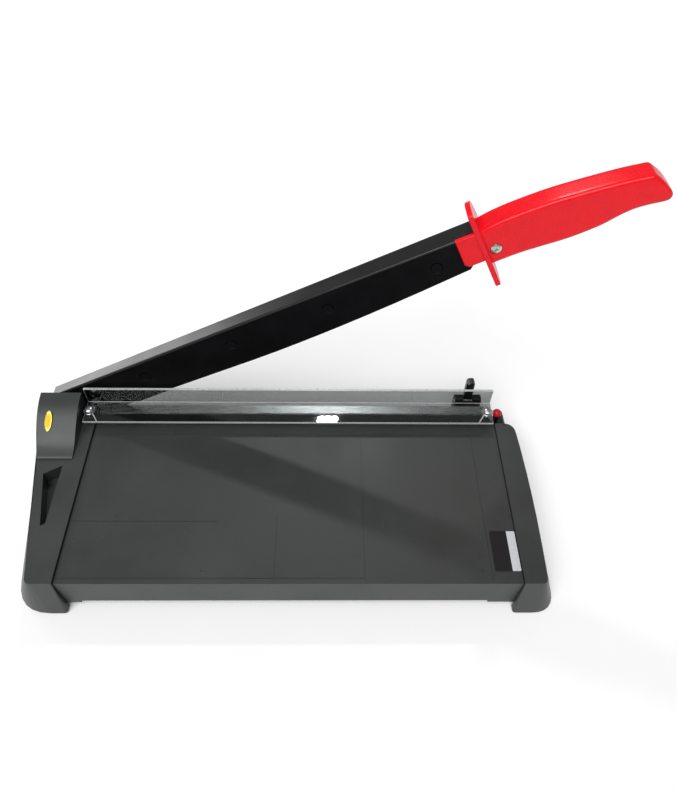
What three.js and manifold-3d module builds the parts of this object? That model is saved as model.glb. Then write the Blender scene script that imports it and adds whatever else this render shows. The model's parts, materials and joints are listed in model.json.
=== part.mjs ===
// A4 guillotine paper cutter: a moulded table between two end casings, a steel bed bar with a
// pivot lug, and a steel arm with a curved blade that swings down behind the table's rear edge.
//
// Millimetres, +Z up. While it is built, X runs from the fence (the left casing's inner face) to
// the right, Y = 0 is the cutting plane with +Y to the rear, and Z = 0 is the table's surface.
// At the end the whole group is moved so that its origin is the middle of its footprint, on the
// surface that it stands on.
import * as THREE from 'three';
import { mergeVertices } from 'three/addons/utils/BufferGeometryUtils.js';
import Module from 'manifold-3d';

const wasm = await Module();
wasm.setup();

// Driving dimensions ------------------------------------------------------------------------
const GAP = 0.3;                     // clearance between touching pieces

// Table
const TABLE_LENGTH = 318;            // between the two casings' inner faces
const TABLE_DEPTH = 152;             // front edge to cutting plane
const TABLE_HEIGHT = 34;             // table surface above what the cutter stands on
const DECK_SKIN = 3;
const DECK_WALL = 2.5;
const APRON_DROP = 25.5;             // lower edge of the front apron below the surface
const APRON_RAKE = 1.2;              // how far the apron's foot stands forward
const APRON_STEP_DROP = 28.7;
const APRON_STEP_LENGTH = 12;
const APRON_STEP_LENGTH_RIGHT = 20;
const RIB_COUNT = 5;
const RIB_DEPTH = 9;
const RIB_THICKNESS = 2;
const GROOVE_WIDTH = 0.6;
const GROOVE_DEPTH = 0.35;

// End casings
const RAIL_RISE = 2.5;               // rail's top above the table
const RAIL_WIDTH = 15.5;
const CASING_WALL = 2.4;
const CASING_FLARE = 12;             // how far the outer wall leans out on its way down
const FOOT_REACH = 7.5;              // how far the feet stand in front of the table
const CREST_LEAD = 0.9;              // how far the rails' front edges stand in front of it
const FOOT_SPLAY = 2.4;              // how far the feet reach inwards below the apron
const LEFT_FRONT_WIDTH = 18;
const LEFT_WAIST_WIDTH = 35.5;
const LEFT_WAIST_BACK = 58;          // waist's distance in front of the cutting plane
const LEFT_REAR_WIDTH = 44.5;
const RIGHT_REAR_BACK = 18.5;        // right rail's rear end in front of the cutting plane
const RIGHT_BOW = 3.9;               // how far the right rail's outer edge is drawn outwards
const RIGHT_REAR_CORNER = 9;
const FOOT_CORNER_LEFT = 24;
const FOOT_CORNER_RIGHT = 16;
const FOOT_TOE_LEFT = 3;              // how much further the left foot's front leans out
const TOP_CORNER = 4;
const RECESS_DEPTH = 9;
const PAD_RADIUS = 6;
const PAD_HEIGHT = 3;
const PAD_PROUD = 1.5;               // how far a rubber pad stands below its casing

// Bed bar and pivot
const BED_THICKNESS = 3;
const BED_FLANGE = 9;                // width of the steel strip along the table's rear edge
const BED_LEG = 12;                  // height of its upright leg
const BED_SCREW_LEFT = 50;           // outermost bed screws, from the two ends of the table
const BED_SCREW_RIGHT = 76;
const BED_END = 6;                   // bar's right end, short of the table's end to clear the handle
const LUG_LEFT = 40;                 // lug's reach to the left of the fence
const LUG_TOP = 12;
const LUG_BOTTOM = 30;
const PIVOT_LEFT = 20;               // pivot axis, to the left of the fence
const PIVOT_DOWN = 12;               // pivot axis, below the table's surface
const PIVOT_RADIUS = 4;
const PIVOT_HEAD_RADIUS = 8;
const PIVOT_HEAD_THICKNESS = 5;
const BUSH_WALL = 2;
const RUNNING = 0.15;                // radial clearance of what turns
const PIVOT_NUT_THICKNESS = 6;

// Pivot cover
const COVER_TOP = 20.5;              // above the table
const COVER_RIGHT = 9.5;             // right side, to the left of the fence
const COVER_WALL = 2.2;
const COVER_LEAN = 3.4;              // how far its outer side leans in on its way up
const BADGE_LENGTH = 17;
const BADGE_WIDTH = 6;
const BADGE_THICKNESS = 0.8;
const BADGE_LEFT = 30.5;             // its middle, to the left of the fence
const BADGE_AT = 0.48;               // its middle, along the cover's crest

// Arm, measured along the arm (s), down from its top fold (t) and to the rear (Y)
const ARM_ANGLE = 27.5;              // how far the arm is raised as it is drawn
const FOLD_ABOVE_PIVOT = 28.2;
const FOLD_START = 26;               // s of the pivot is minus this
const ARM_START = -29;
const ARM_TONGUE = 37;               // how far the channel runs on past the table, into the handle
const ARM_SHEET = 1.5;
const ARM_FLANGE_START = 10.4;       // the top flange widens towards the handle
const ARM_FLANGE_END = 15.2;
const TONGUE_FLANGE = 10;            // and is narrower inside the handle
const ARM_LIP = 12;
const CATCH_TOP = 3.7;               // the latch's window in the lip, below the fold
const CATCH_BOTTOM = 8.7;
const ARM_WEB_DEPTH = 24;
const BLADE_THICKNESS = 2.4;
const BLADE_OVERHANG = 0.5;          // how far the blade reaches past the table when it is down
const BLADE_HEEL = 4;                // where the edge starts
const BLADE_HEEL_RADIUS = 13;
const BLADE_BEVEL = 3.5;             // height of the ground bevel behind the edge
const RIVET_RADIUS = 2.2;
const RIVET_COUNT = 4;
const RIVET_DOWN = 15;               // below the fold
const RIVET_FIRST = 52;
const RIVET_LAST_INSET = 22.5;       // last rivet, short of the blade's end

// Handle
const GRIP_CLEARANCE = 11.5;         // grip's start, past the table's right end
const GRIP_FRONT = 2.6;              // in front of the cutting plane
const GRIP_REAR = 14.4;
const GUARD_DISC_THICKNESS = 3;
const GUARD_DISC_HALF_HEIGHT = 31;
const GUARD_DISC_HALF_WIDTH = 21;
const GUARD_DISC_DOWN = 14.8;        // its centre below the fold
const HANDLE_SCREW_IN = 5.8;         // handle screw, past the grip's start
const HANDLE_SCREW_T = 15;

// Clear guard
const GUARD_HEIGHT = 8;              // underside of the strip above the table
const GUARD_STRIP = 20;
const GUARD_SHEET = 2;
const GUARD_WALL_HEIGHT = 17;
const GUARD_BACK = 2;                // wall's rear face in front of the cutting plane
const GUARD_LEFT = 7;                // overhang to the left of the fence
const GUARD_RIGHT_INSET = 3.2;       // its right end, short of the right casing
const POST_RADIUS = 3.2;
const POST_Y = -13.5;
const POST_LEFT = 3.6;               // left post, to the left of the fence
const POST_RIGHT_INSET = 6.8;        // right post, to the left of the right casing
const SCREW_RADIUS = 1.6;
const SCREW_HEAD_RADIUS = 3.7;
const SCREW_HEAD_HEIGHT = 2.4;
const WASHER_RADIUS = 4.6;
const WASHER_THICKNESS = 0.8;

// Latch
const LATCH_X_INSET = 14.7;          // lever's middle, to the left of the right casing
const LATCH_WIDTH = 6.7;
const LATCH_PIN_BACK = 3.9;          // pin, behind the arm's lip
const LATCH_PIN_DOWN = 14;
const LATCH_PIN_RADIUS = 1.5;
const LATCH_TOP = 12.6;
const LATCH_NOSE_HEIGHT = 3.8;
const LATCH_BRACKET_HALF = 11;
const LATCH_PLATE = 2.7;
const KNOB_RADIUS = 3.7;
const KNOB_Y = -10.5;
const KNOB_OUT = 2.4;                // knob's middle, to the right of the right casing's face

// Label
const LABEL_LENGTH = 30;
const LABEL_WIDTH = 18;
const LABEL_THICKNESS = 0.4;
const LABEL_IN = 9;                  // its front edge, behind the table's front edge

const ROUND = 24;                    // sides of a round piece
const SMALL_ROUND = 16;              // sides of a screw or a rivet
const FLOOR = -TABLE_HEIGHT;
const CASING_BOTTOM = FLOOR + PAD_PROUD;
const CASING_HEIGHT = RAIL_RISE - CASING_BOTTOM;
const RIGHT = TABLE_LENGTH;

// Materials ---------------------------------------------------------------------------------
function finish(color, roughness, metalness = 0) {
  return new THREE.MeshStandardMaterial({ color, roughness, metalness });
}
const charcoalPlastic = finish(0x3a3d3c, 0.55);
const blackPlastic = finish(0x1d1e1f, 0.5);
const redPlastic = finish(0xe3202c, 0.28);
const blackPaint = finish(0x131415, 0.35);
const bladeSteel = finish(0x17181a, 0.3, 0.7);
const brightSteel = finish(0xb9bbbd, 0.3, 1);
const zincSteel = finish(0xc9c6b8, 0.35, 1);
const brass = finish(0xb8973f, 0.35, 1);
const rubber = finish(0x1a1a1a, 0.85);
const acrylic = finish(0xdfe6ea, 0.05);
acrylic.transparent = true;
acrylic.opacity = 0.3;
const badgeGold = finish(0xc9b23c, 0.4, 0.6);
const labelFilm = finish(0x0e0e10, 0.45);

// Solids ------------------------------------------------------------------------------------
function toManifold(geometry) {
  const bare = geometry.index ? geometry.toNonIndexed() : geometry.clone();
  bare.deleteAttribute('normal');
  bare.deleteAttribute('uv');
  const merged = mergeVertices(bare, 1e-4);
  return new wasm.Manifold(new wasm.Mesh({
    numProp: 3,
    vertProperties: merged.attributes.position.array,
    triVerts: Uint32Array.from(merged.index.array),
  }));
}

function toGeometry(solid) {
  const mesh = solid.getMesh();
  const geometry = new THREE.BufferGeometry();
  geometry.setAttribute('position', new THREE.BufferAttribute(mesh.vertProperties, 3));
  geometry.setIndex(new THREE.BufferAttribute(mesh.triVerts, 1));
  return geometry;
}

function join(first, ...others) {
  return others.reduce((sum, next) => sum.add(next), first);
}

function cut(first, ...others) {
  return others.reduce((rest, next) => rest.subtract(next), first);
}

function box(x0, x1, y0, y1, z0, z1) {
  const geometry = new THREE.BoxGeometry(x1 - x0, y1 - y0, z1 - z0);
  geometry.translate((x0 + x1) / 2, (y0 + y1) / 2, (z0 + z1) / 2);
  return toManifold(geometry);
}

// The directions that an outline's own x, y and its extrusion point along.
const FRAMES = {
  z: [[1, 0, 0], [0, 1, 0], [0, 0, 1]],
  x: [[0, 1, 0], [0, 0, 1], [1, 0, 0]],
  y: [[0, 0, 1], [1, 0, 0], [0, 1, 0]],
};

function turnTo(geometry, along) {
  const [u, v, w] = FRAMES[along].map((axis) => new THREE.Vector3(...axis));
  geometry.applyMatrix4(new THREE.Matrix4().makeBasis(u, v, w));
  return geometry;
}

// A prism along 'x', 'y' or 'z'. Its outline is in the next two directions in turn: (Y, Z) for x,
// (Z, X) for y and (X, Y) for z.
function prism(outline, along, from, to) {
  const shape = outline instanceof THREE.Shape ? outline : new THREE.Shape(outline);
  const depth = to - from;
  const geometry = new THREE.ExtrudeGeometry(shape, { depth, bevelEnabled: false, curveSegments: 16 });
  geometry.translate(0, 0, from);
  return toManifold(turnTo(geometry, along));
}

// A round bar along 'x', 'y' or 'z'. The middle is in the same two directions as a prism's outline.
function rod(radius, along, from, to, [u, v], endRadius = radius, sides = ROUND) {
  const geometry = new THREE.CylinderGeometry(endRadius, radius, to - from, sides);
  geometry.rotateX(Math.PI / 2);
  geometry.translate(u, v, (from + to) / 2);
  return toManifold(turnTo(geometry, along));
}

// A turned piece: a profile of [radius, station] pairs spun about an axis along 'x', 'y' or 'z'.
function turned(profile, along, [u, v], sides = ROUND) {
  const geometry = new THREE.LatheGeometry(profile.map(([r, station]) => point(r, station)), sides);
  geometry.rotateX(Math.PI / 2);
  geometry.translate(u, v, 0);
  return toManifold(turnTo(geometry, along));
}

function tube(outer, inner, along, from, to, middle) {
  return turned([[inner, from], [outer, from], [outer, to], [inner, to], [inner, from]], along, middle);
}

// A solid between two outlines that have the same number of points, the first at 'from'.
function loft(first, second, from, to, along = 'z') {
  const depth = to - from;
  const geometry = new THREE.ExtrudeGeometry(new THREE.Shape(first), { depth, bevelEnabled: false });
  const position = geometry.attributes.position;
  const place = new THREE.Vector3();
  for (let i = 0; i < position.count; i += 1) {
    place.fromBufferAttribute(position, i);
    if (place.z > depth / 2) {
      const index = first.findIndex((p) => Math.hypot(p.x - place.x, p.y - place.y) < 1e-3);
      position.setXY(i, second[index].x, second[index].y);
    }
  }
  geometry.translate(0, 0, from);
  return toManifold(turnTo(geometry, along));
}

function point(x, y) {
  return new THREE.Vector2(x, y);
}

// An outline's copy with every edge moved inwards by a distance. The outline runs anticlockwise.
function inset(outline, distance) {
  const count = outline.length;
  return outline.map((here, i) => {
    const before = outline[(i + count - 1) % count];
    const after = outline[(i + 1) % count];
    const arriving = here.clone().sub(before).normalize();
    const leaving = after.clone().sub(here).normalize();
    const normal = point(-arriving.y - leaving.y, arriving.x + leaving.x).normalize();
    const reach = distance / Math.max(0.5, normal.dot(point(-arriving.y, arriving.x)));
    return here.clone().addScaledVector(normal, reach);
  });
}

// Points on a rounded corner of an outline, from one tangent point to the other.
function roundCorner(corner, before, after, radius, steps = 6) {
  const start = corner.clone().addScaledVector(before.clone().sub(corner).normalize(), radius);
  const end = corner.clone().addScaledVector(after.clone().sub(corner).normalize(), radius);
  return new THREE.QuadraticBezierCurve(start, corner, end).getPoints(steps);
}

const model = new THREE.Group();

function add(name, solid, material, parent = model) {
  const mesh = new THREE.Mesh(toGeometry(solid), material);
  mesh.name = name;
  parent.add(mesh);
  return mesh;
}

// Table -------------------------------------------------------------------------------------
const GUARD_RIGHT = RIGHT - GUARD_RIGHT_INSET;
const GUARD_REAR = -GUARD_BACK;
const POST_RIGHT = RIGHT - POST_RIGHT_INSET;
const LATCH_X = RIGHT - LATCH_X_INSET;
const LATCH_LEFT = LATCH_X - LATCH_WIDTH / 2;
const LATCH_RIGHT = LATCH_X + LATCH_WIDTH / 2;
const LATCH_SCREW_X = [LATCH_X - 7, LATCH_X + 7];
const LATCH_SCREW_Y = -31;
const LATCH_FLOOR = -25.8;                       // top of the latch bracket's plate
const KNOB_X = RIGHT + KNOB_OUT;
const BED_BACK = -GAP / 2;                       // bed bar's rear face
const BED_FRONT = BED_BACK - BED_THICKNESS;
const DECK_BACK = BED_FRONT - GAP;               // rear wall's rear face
const DECK_SCREW_X = [8, RIGHT - 8];
const DECK_SCREW_Y = [-TABLE_DEPTH + 22, -44];
const BED_SCREW_LAST = RIGHT - BED_SCREW_RIGHT;
const BED_SCREW_X = [BED_SCREW_LEFT, (BED_SCREW_LEFT + BED_SCREW_LAST) / 2, BED_SCREW_LAST];
const BED_SCREW_Z = -BED_LEG + 4.2;
const TAB_TOP = -17.5;
const SHEET_A4 = 297;
const SHEET_A5 = 210;
const SHEET_A6 = 148;
const SHEET_A7 = 105;

function lineAcross(y, x0, x1) {
  return box(x0, x1, y - GROOVE_WIDTH / 2, y + GROOVE_WIDTH / 2, -GROOVE_DEPTH, 1);
}

function lineAlong(x, y0, y1) {
  return box(x - GROOVE_WIDTH / 2, x + GROOVE_WIDTH / 2, y0, y1, -GROOVE_DEPTH - 0.05, 2);
}

function makeDeck() {
  const ledge = -BED_THICKNESS - GAP;
  const flangeFront = BED_BACK - BED_FLANGE - GAP;
  const bedEnd = RIGHT - BED_END + GAP;
  const section = [
    point(-TABLE_DEPTH, 0),
    point(-TABLE_DEPTH - APRON_RAKE, -APRON_DROP),
    point(-TABLE_DEPTH - APRON_RAKE + DECK_WALL, -APRON_DROP),
    point(-TABLE_DEPTH + DECK_WALL, -DECK_SKIN),
    point(flangeFront - DECK_SKIN, -DECK_SKIN),
    point(flangeFront - DECK_SKIN, ledge - DECK_SKIN),
    point(DECK_BACK - DECK_WALL, ledge - DECK_SKIN),
    point(DECK_BACK - DECK_WALL, -APRON_DROP),
    point(DECK_BACK, -APRON_DROP),
    point(DECK_BACK, 0),
  ];
  let deck = prism(section, 'x', GAP, RIGHT - GAP);
  deck = cut(deck, box(-1, bedEnd, flangeFront, 1, ledge, 1));
  const stepFront = -TABLE_DEPTH - APRON_RAKE + 0.15;
  const foot = [
    point(stepFront, -APRON_DROP + 1),
    point(stepFront, -APRON_STEP_DROP),
    point(stepFront + DECK_WALL - 0.3, -APRON_STEP_DROP),
    point(stepFront + DECK_WALL - 0.3, -APRON_DROP + 1),
  ];
  deck = join(deck, prism(foot, 'x', 2 * GAP, APRON_STEP_LENGTH));
  deck = join(deck, prism(foot, 'x', RIGHT - APRON_STEP_LENGTH_RIGHT, RIGHT - 2 * GAP));
  const ribFront = -TABLE_DEPTH + 1;
  for (let i = 1; i <= RIB_COUNT; i += 1) {
    const x = (RIGHT * i) / (RIB_COUNT + 1);
    deck = join(deck, box(x, x + RIB_THICKNESS, ribFront, -10, -DECK_SKIN - RIB_DEPTH, -1));
  }
  const middle = -TABLE_DEPTH / 2;
  const middleBottom = -DECK_SKIN - RIB_DEPTH + 1;
  deck = join(deck, box(1, RIGHT - 1, middle, middle + RIB_THICKNESS, middleBottom, -1.5));
  for (const x of DECK_SCREW_X) {
    for (const y of DECK_SCREW_Y) {
      deck = join(deck, rod(4, 'z', TAB_TOP + GAP, -1, [x, y]));
      deck = cut(deck, rod(SCREW_RADIUS + GAP, 'z', TAB_TOP - 1, -DECK_SKIN - 2, [x, y]));
    }
  }
  for (const x of BED_SCREW_X) {
    deck = join(deck, box(x - 4, x + 4, DECK_BACK - 9, DECK_BACK - 1, BED_SCREW_Z - 4, ledge - 1));
    deck = cut(deck, rod(SCREW_RADIUS + GAP, 'y', DECK_BACK - 7, DECK_BACK + 1, [BED_SCREW_Z, x]));
  }
  deck = join(deck, rod(POST_RADIUS + 1, 'z', -12, -1.2, [POST_RIGHT, POST_Y]));
  deck = cut(deck, rod(SCREW_RADIUS + GAP, 'z', -11, 1, [POST_RIGHT, POST_Y]));
  deck = cut(deck, box(LATCH_LEFT - 1.5, RIGHT + 1, -24, 1, -40, -BED_LEG - 1.2));
  for (const x of LATCH_SCREW_X) {
    deck = join(deck, rod(4, 'z', LATCH_FLOOR + GAP, -1.4, [x, LATCH_SCREW_Y]));
    deck = cut(deck, rod(SCREW_RADIUS + GAP, 'z', LATCH_FLOOR - 1, -DECK_SKIN - 4, [x, LATCH_SCREW_Y]));
  }
  return cut(
    deck,
    lineAcross(-SHEET_A7, 1, SHEET_A7),
    lineAcross(-SHEET_A6, 1, SHEET_A5),
    lineAlong(SHEET_A6, -TABLE_DEPTH + 1, -SHEET_A7 + 4),
    lineAlong(SHEET_A5, -TABLE_DEPTH + 1, -31),
    lineAlong(SHEET_A4, -TABLE_DEPTH + 1, -31),
    lineAcross(-29, 12, RIGHT - 12),
  );
}

// End casings -------------------------------------------------------------------------------
// Both casings are lofts from a wide lower outline to a narrower upper one.
function frontEdge(low) {
  return -TABLE_DEPTH - CREST_LEAD - low * (FOOT_REACH - CREST_LEAD);
}

// Behind its front corner a foot steps back from its splay to the plane of the table's end.
function footNeck(low) {
  const lead = APRON_RAKE + 2 * GAP;
  return [-TABLE_DEPTH - 1.5 * GAP - low * lead, -TABLE_DEPTH - GAP - low * (lead - 0.2)];
}

// Each outline can be drawn a wall's thickness inside the casing's face. low is 1 at the bottom.
function leftOutline(low, wall = 0) {
  const front = frontEdge(low) + wall;
  const corner = TOP_CORNER + low * (FOOT_CORNER_LEFT - TOP_CORNER) - wall;
  const frontOuter = point(-LEFT_FRONT_WIDTH - low * (CASING_FLARE + FOOT_TOE_LEFT) + wall, front);
  const waist = point(-LEFT_WAIST_WIDTH - low * CASING_FLARE + wall, -LEFT_WAIST_BACK);
  const rear = point(-LEFT_REAR_WIDTH - low * CASING_FLARE * 0.6 + wall, DECK_BACK - wall);
  const bulge = point(rear.x + 1, -LEFT_WAIST_BACK * 0.55);
  const side = new THREE.QuadraticBezierCurve(rear, bulge, waist).getPoints(8);
  const frontInner = point(low * FOOT_SPLAY - wall, front);
  const [neck, shoulder] = footNeck(low);
  return [
    point(-wall, DECK_BACK - wall),
    ...side,
    ...roundCorner(frontOuter, waist, frontInner, corner),
    ...roundCorner(frontInner, frontOuter, point(frontInner.x, 0), 0.4 + low * 1.6, 3),
    point(frontInner.x, neck + wall),
    point(-wall, shoulder + wall),
  ];
}

function rightOutline(low, wall = 0) {
  const front = frontEdge(low) + wall;
  const outer = RIGHT + RAIL_WIDTH + low * CASING_FLARE - wall;
  const back = -RIGHT_REAR_BACK - wall;
  const corner = TOP_CORNER + low * (FOOT_CORNER_RIGHT - TOP_CORNER) - wall;
  const frontInner = point(RIGHT - low * FOOT_SPLAY + wall, front);
  const frontOuter = point(outer, front);
  const rearOuter = point(outer - 0.6, back);
  const bow = point(outer + RIGHT_BOW, (front + back) / 2);
  const side = new THREE.QuadraticBezierCurve(frontOuter, bow, rearOuter).getPoints(14).slice(3, -2);
  const [neck, shoulder] = footNeck(low);
  return [
    point(RIGHT + wall, back),
    point(RIGHT + wall, shoulder + wall),
    point(frontInner.x, neck + wall),
    ...roundCorner(frontInner, point(frontInner.x, 0), point(outer, front), 0.4 + low * 1.6, 3),
    ...roundCorner(frontOuter, frontInner, side[0], corner),
    ...side,
    ...roundCorner(rearOuter, side.at(-1), point(RIGHT, back), RIGHT_REAR_CORNER - wall),
  ];
}

function shell(outline) {
  const outside = loft(outline(1), outline(0), CASING_BOTTOM, RAIL_RISE);
  const inside = loft(outline(1, CASING_WALL), outline(0, CASING_WALL), CASING_BOTTOM - 1,
    RAIL_RISE - CASING_WALL);
  return cut(outside, inside);
}

// A tab that a screw from below clamps to a boss of the table. side is 1 to the right, -1 to the left.
function screwTab(faceX, screwX, y) {
  const x0 = Math.min(faceX, screwX) - 5;
  const x1 = Math.max(faceX, screwX) + 5;
  const plate = box(faceX > screwX ? x0 : faceX - 1, faceX > screwX ? faceX + 1 : x1, y - 5, y + 5,
    TAB_TOP - 2.5, TAB_TOP);
  return cut(plate, rod(SCREW_RADIUS + GAP, 'z', TAB_TOP - 4, TAB_TOP + 1, [screwX, y]));
}

// The rubber pads sit in sockets that grow out of the outer walls.
const PAD_INSET = PAD_RADIUS + CASING_WALL;
const leftPadEdge = new THREE.Line3(
  new THREE.Vector3(-LEFT_FRONT_WIDTH - CASING_FLARE - FOOT_TOE_LEFT, frontEdge(1), 0),
  new THREE.Vector3(-LEFT_WAIST_WIDTH - CASING_FLARE, -LEFT_WAIST_BACK, 0),
);
const PADS = {
  front_left: [leftPadEdge.at(0.22, new THREE.Vector3()).x + PAD_INSET, -TABLE_DEPTH + 14],
  rear_left: [-LEFT_REAR_WIDTH - CASING_FLARE * 0.4 + PAD_INSET, -LEFT_WAIST_BACK + 26],
  front_right: [RIGHT + RAIL_WIDTH + CASING_FLARE - PAD_INSET, -TABLE_DEPTH + 12],
  rear_right: [RIGHT + RAIL_WIDTH + CASING_FLARE - PAD_INSET, -RIGHT_REAR_BACK - 15],
};

function addPadSockets(casing, outline, names) {
  const skin = CASING_WALL / 2;
  const within = loft(outline(1, skin), outline(0, skin), CASING_BOTTOM, RAIL_RISE);
  let result = casing;
  for (const middle of names.map((name) => PADS[name])) {
    const socket = rod(PAD_RADIUS + CASING_WALL, 'z', CASING_BOTTOM + 0.4, CASING_BOTTOM + 5, middle);
    result = join(result, socket.intersect(within));
  }
  const seat = CASING_BOTTOM + PAD_HEIGHT - PAD_PROUD + GAP;
  for (const middle of names.map((name) => PADS[name])) {
    result = cut(result, rod(PAD_RADIUS + GAP, 'z', CASING_BOTTOM - 1, seat, middle));
  }
  return result;
}

function recessOutline() {
  return [
    point(-RAIL_WIDTH, -LEFT_WAIST_BACK - 1.5),
    point(-28, -LEFT_WAIST_BACK - 9),
    point(-RAIL_WIDTH - 3.2, -LEFT_WAIST_BACK - 52),
    point(-RAIL_WIDTH, -LEFT_WAIST_BACK - 50),
  ];
}

function makeLeftCasing() {
  let casing = shell(leftOutline);
  for (const y of DECK_SCREW_Y) {
    casing = join(casing, screwTab(0, DECK_SCREW_X[0], y));
  }
  casing = join(casing, rod(POST_RADIUS + 0.2, 'z', -14, RAIL_RISE - 0.2, [-POST_LEFT, POST_Y]));
  const tubOutline = inset(recessOutline(), -CASING_WALL);
  const tub = prism(tubOutline, 'z', -RECESS_DEPTH - CASING_WALL, RAIL_RISE - 0.5);
  casing = join(casing, tub);
  casing = cut(casing, prism(recessOutline(), 'z', -RECESS_DEPTH, RAIL_RISE + 1));
  casing = addPadSockets(casing, leftOutline, ['front_left', 'rear_left']);
  // Room for the pivot's head and the lug under the cover, open to the rear.
  const roomFront = -LEFT_WAIST_BACK + 14;
  const room = box(-LUG_LEFT - 1, -COVER_RIGHT - COVER_WALL, roomFront, 1, CASING_BOTTOM + 6, 10);
  const bore = rod(SCREW_RADIUS + GAP, 'z', -13, RAIL_RISE + 1, [-POST_LEFT, POST_Y]);
  return cut(casing, room, bore);
}

function makeRightCasing() {
  let casing = shell(rightOutline);
  for (const y of DECK_SCREW_Y) {
    casing = join(casing, screwTab(RIGHT, DECK_SCREW_X[1], y));
  }
  const cheek = [
    point(-RIGHT_REAR_BACK - CASING_WALL / 2, -26),
    point(KNOB_Y + 7, -26),
    point(KNOB_Y + 7, -1),
    point(KNOB_Y + 4, 2.2),
    point(-RIGHT_REAR_BACK - CASING_WALL / 2, 3.4),
  ];
  casing = join(casing, prism(cheek, 'x', KNOB_X + KNOB_RADIUS + GAP, KNOB_X + KNOB_RADIUS + GAP + 1.3));
  return addPadSockets(casing, rightOutline, ['front_right', 'rear_right']);
}

// Pivot cover -------------------------------------------------------------------------------
// Its top is level at the rear and curves down to the casing in front.
const coverCrest = new THREE.SplineCurve([
  point(DECK_BACK, COVER_TOP), point(-12, 19.8), point(-22, 17), point(-35.5, 10.7), point(-45, 5.8),
  point(-54, 3.6),
]);

function coverProfile(drop) {
  const base = RAIL_RISE + GAP - (drop > 0 ? 1 : 0);
  const crown = coverCrest.getPoints(14).map((p) => point(p.x, p.y - drop)).filter((p) => p.y > base + 0.5);
  const rear = drop > 0 ? [point(1, base), point(1, crown[0].y)] : [point(DECK_BACK, base)];
  return [...rear, ...crown, point(crown.at(-1).x, base)];
}

function coverPlan(drop, lean) {
  const upper = leftOutline(0).slice(1, 10);
  const rear = drop > 0 ? 1 : DECK_BACK;
  const side = upper.map((p) => point(p.x + GAP + lean + drop, Math.max(p.y, -LEFT_WAIST_BACK - 2)));
  return [point(-COVER_RIGHT - drop, rear), point(side[0].x, rear), ...side.slice(1),
    point(-COVER_RIGHT - drop, -LEFT_WAIST_BACK - 2)];
}

function makePivotCover() {
  const outside = loft(coverPlan(0, 0), coverPlan(0, COVER_LEAN), RAIL_RISE + GAP, COVER_TOP + 1)
    .intersect(prism(coverProfile(0), 'x', -80, 0));
  const inside = loft(coverPlan(COVER_WALL, 0), coverPlan(COVER_WALL, COVER_LEAN), RAIL_RISE - 1, COVER_TOP + 1)
    .intersect(prism(coverProfile(COVER_WALL), 'x', -80, 0));
  return cut(outside, inside);
}

function makeBadge() {
  const shape = new THREE.Shape();
  shape.absellipse(0, 0, BADGE_WIDTH / 2, BADGE_LENGTH / 2, 0, 2 * Math.PI);
  const settings = { depth: BADGE_THICKNESS, bevelEnabled: false, curveSegments: 16 };
  return toManifold(new THREE.ExtrudeGeometry(shape, settings));
}

// Bed bar and pivot -------------------------------------------------------------------------
// The tool for a countersunk hole along Y. inwards is the direction from the face into the plate.
function countersink(radius, face, inwards, thickness, middle) {
  const profile = [
    [0, face - inwards],
    [radius + 3.2, face - inwards],
    [radius, face + inwards * 2.2],
    [radius, face + inwards * (thickness + 1)],
    [0, face + inwards * (thickness + 1)],
  ];
  return turned(inwards > 0 ? profile : profile.reverse(), 'y', middle, SMALL_ROUND);
}

function makeBedBar() {
  const bar = prism([
    point(BED_BACK, 0),
    point(BED_BACK - BED_FLANGE, 0),
    point(BED_BACK - BED_FLANGE, -BED_THICKNESS),
    point(BED_FRONT, -BED_THICKNESS),
    point(BED_FRONT, -BED_LEG),
    point(BED_BACK, -BED_LEG),
  ], 'x', GAP, RIGHT - BED_END);
  const lug = new THREE.Shape();
  lug.moveTo(-LUG_BOTTOM, -LUG_LEFT);
  lug.lineTo(LUG_TOP - 8, -LUG_LEFT);
  lug.absarc(LUG_TOP - 8, -LUG_LEFT + 8, 8, 1.5 * Math.PI, 2 * Math.PI);
  lug.lineTo(LUG_TOP, -COVER_RIGHT - COVER_WALL - 1);
  lug.lineTo(0, -COVER_RIGHT - COVER_WALL - 1);
  lug.lineTo(0, 1);
  lug.lineTo(-BED_LEG, 1);
  lug.lineTo(-BED_LEG, -6);
  lug.lineTo(-LUG_BOTTOM, -6);
  lug.closePath();
  let bed = join(bar, prism(lug, 'y', BED_FRONT, BED_BACK));
  bed = cut(bed, rod(PIVOT_RADIUS + GAP, 'y', BED_FRONT - 1, BED_BACK + 1, [-PIVOT_DOWN, -PIVOT_LEFT]));
  for (const x of BED_SCREW_X) {
    bed = cut(bed, countersink(SCREW_RADIUS + GAP, BED_BACK, -1, BED_THICKNESS, [BED_SCREW_Z, x]));
  }
  return bed;
}

function makeBedScrew(x) {
  const face = BED_BACK - 0.1;
  const screw = turned([
    [0, DECK_BACK - 6], [SCREW_RADIUS, DECK_BACK - 6], [SCREW_RADIUS, face - 1.5], [3, face], [0, face],
  ], 'y', [BED_SCREW_Z, x], SMALL_ROUND);
  const slot = box(x - 0.4, x + 0.4, face - 0.7, face + 1, BED_SCREW_Z - 1.8, BED_SCREW_Z + 1.8);
  const cross = box(x - 1.8, x + 1.8, face - 0.8, face + 1, BED_SCREW_Z - 0.4, BED_SCREW_Z + 0.4);
  return cut(screw, slot, cross);
}

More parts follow.
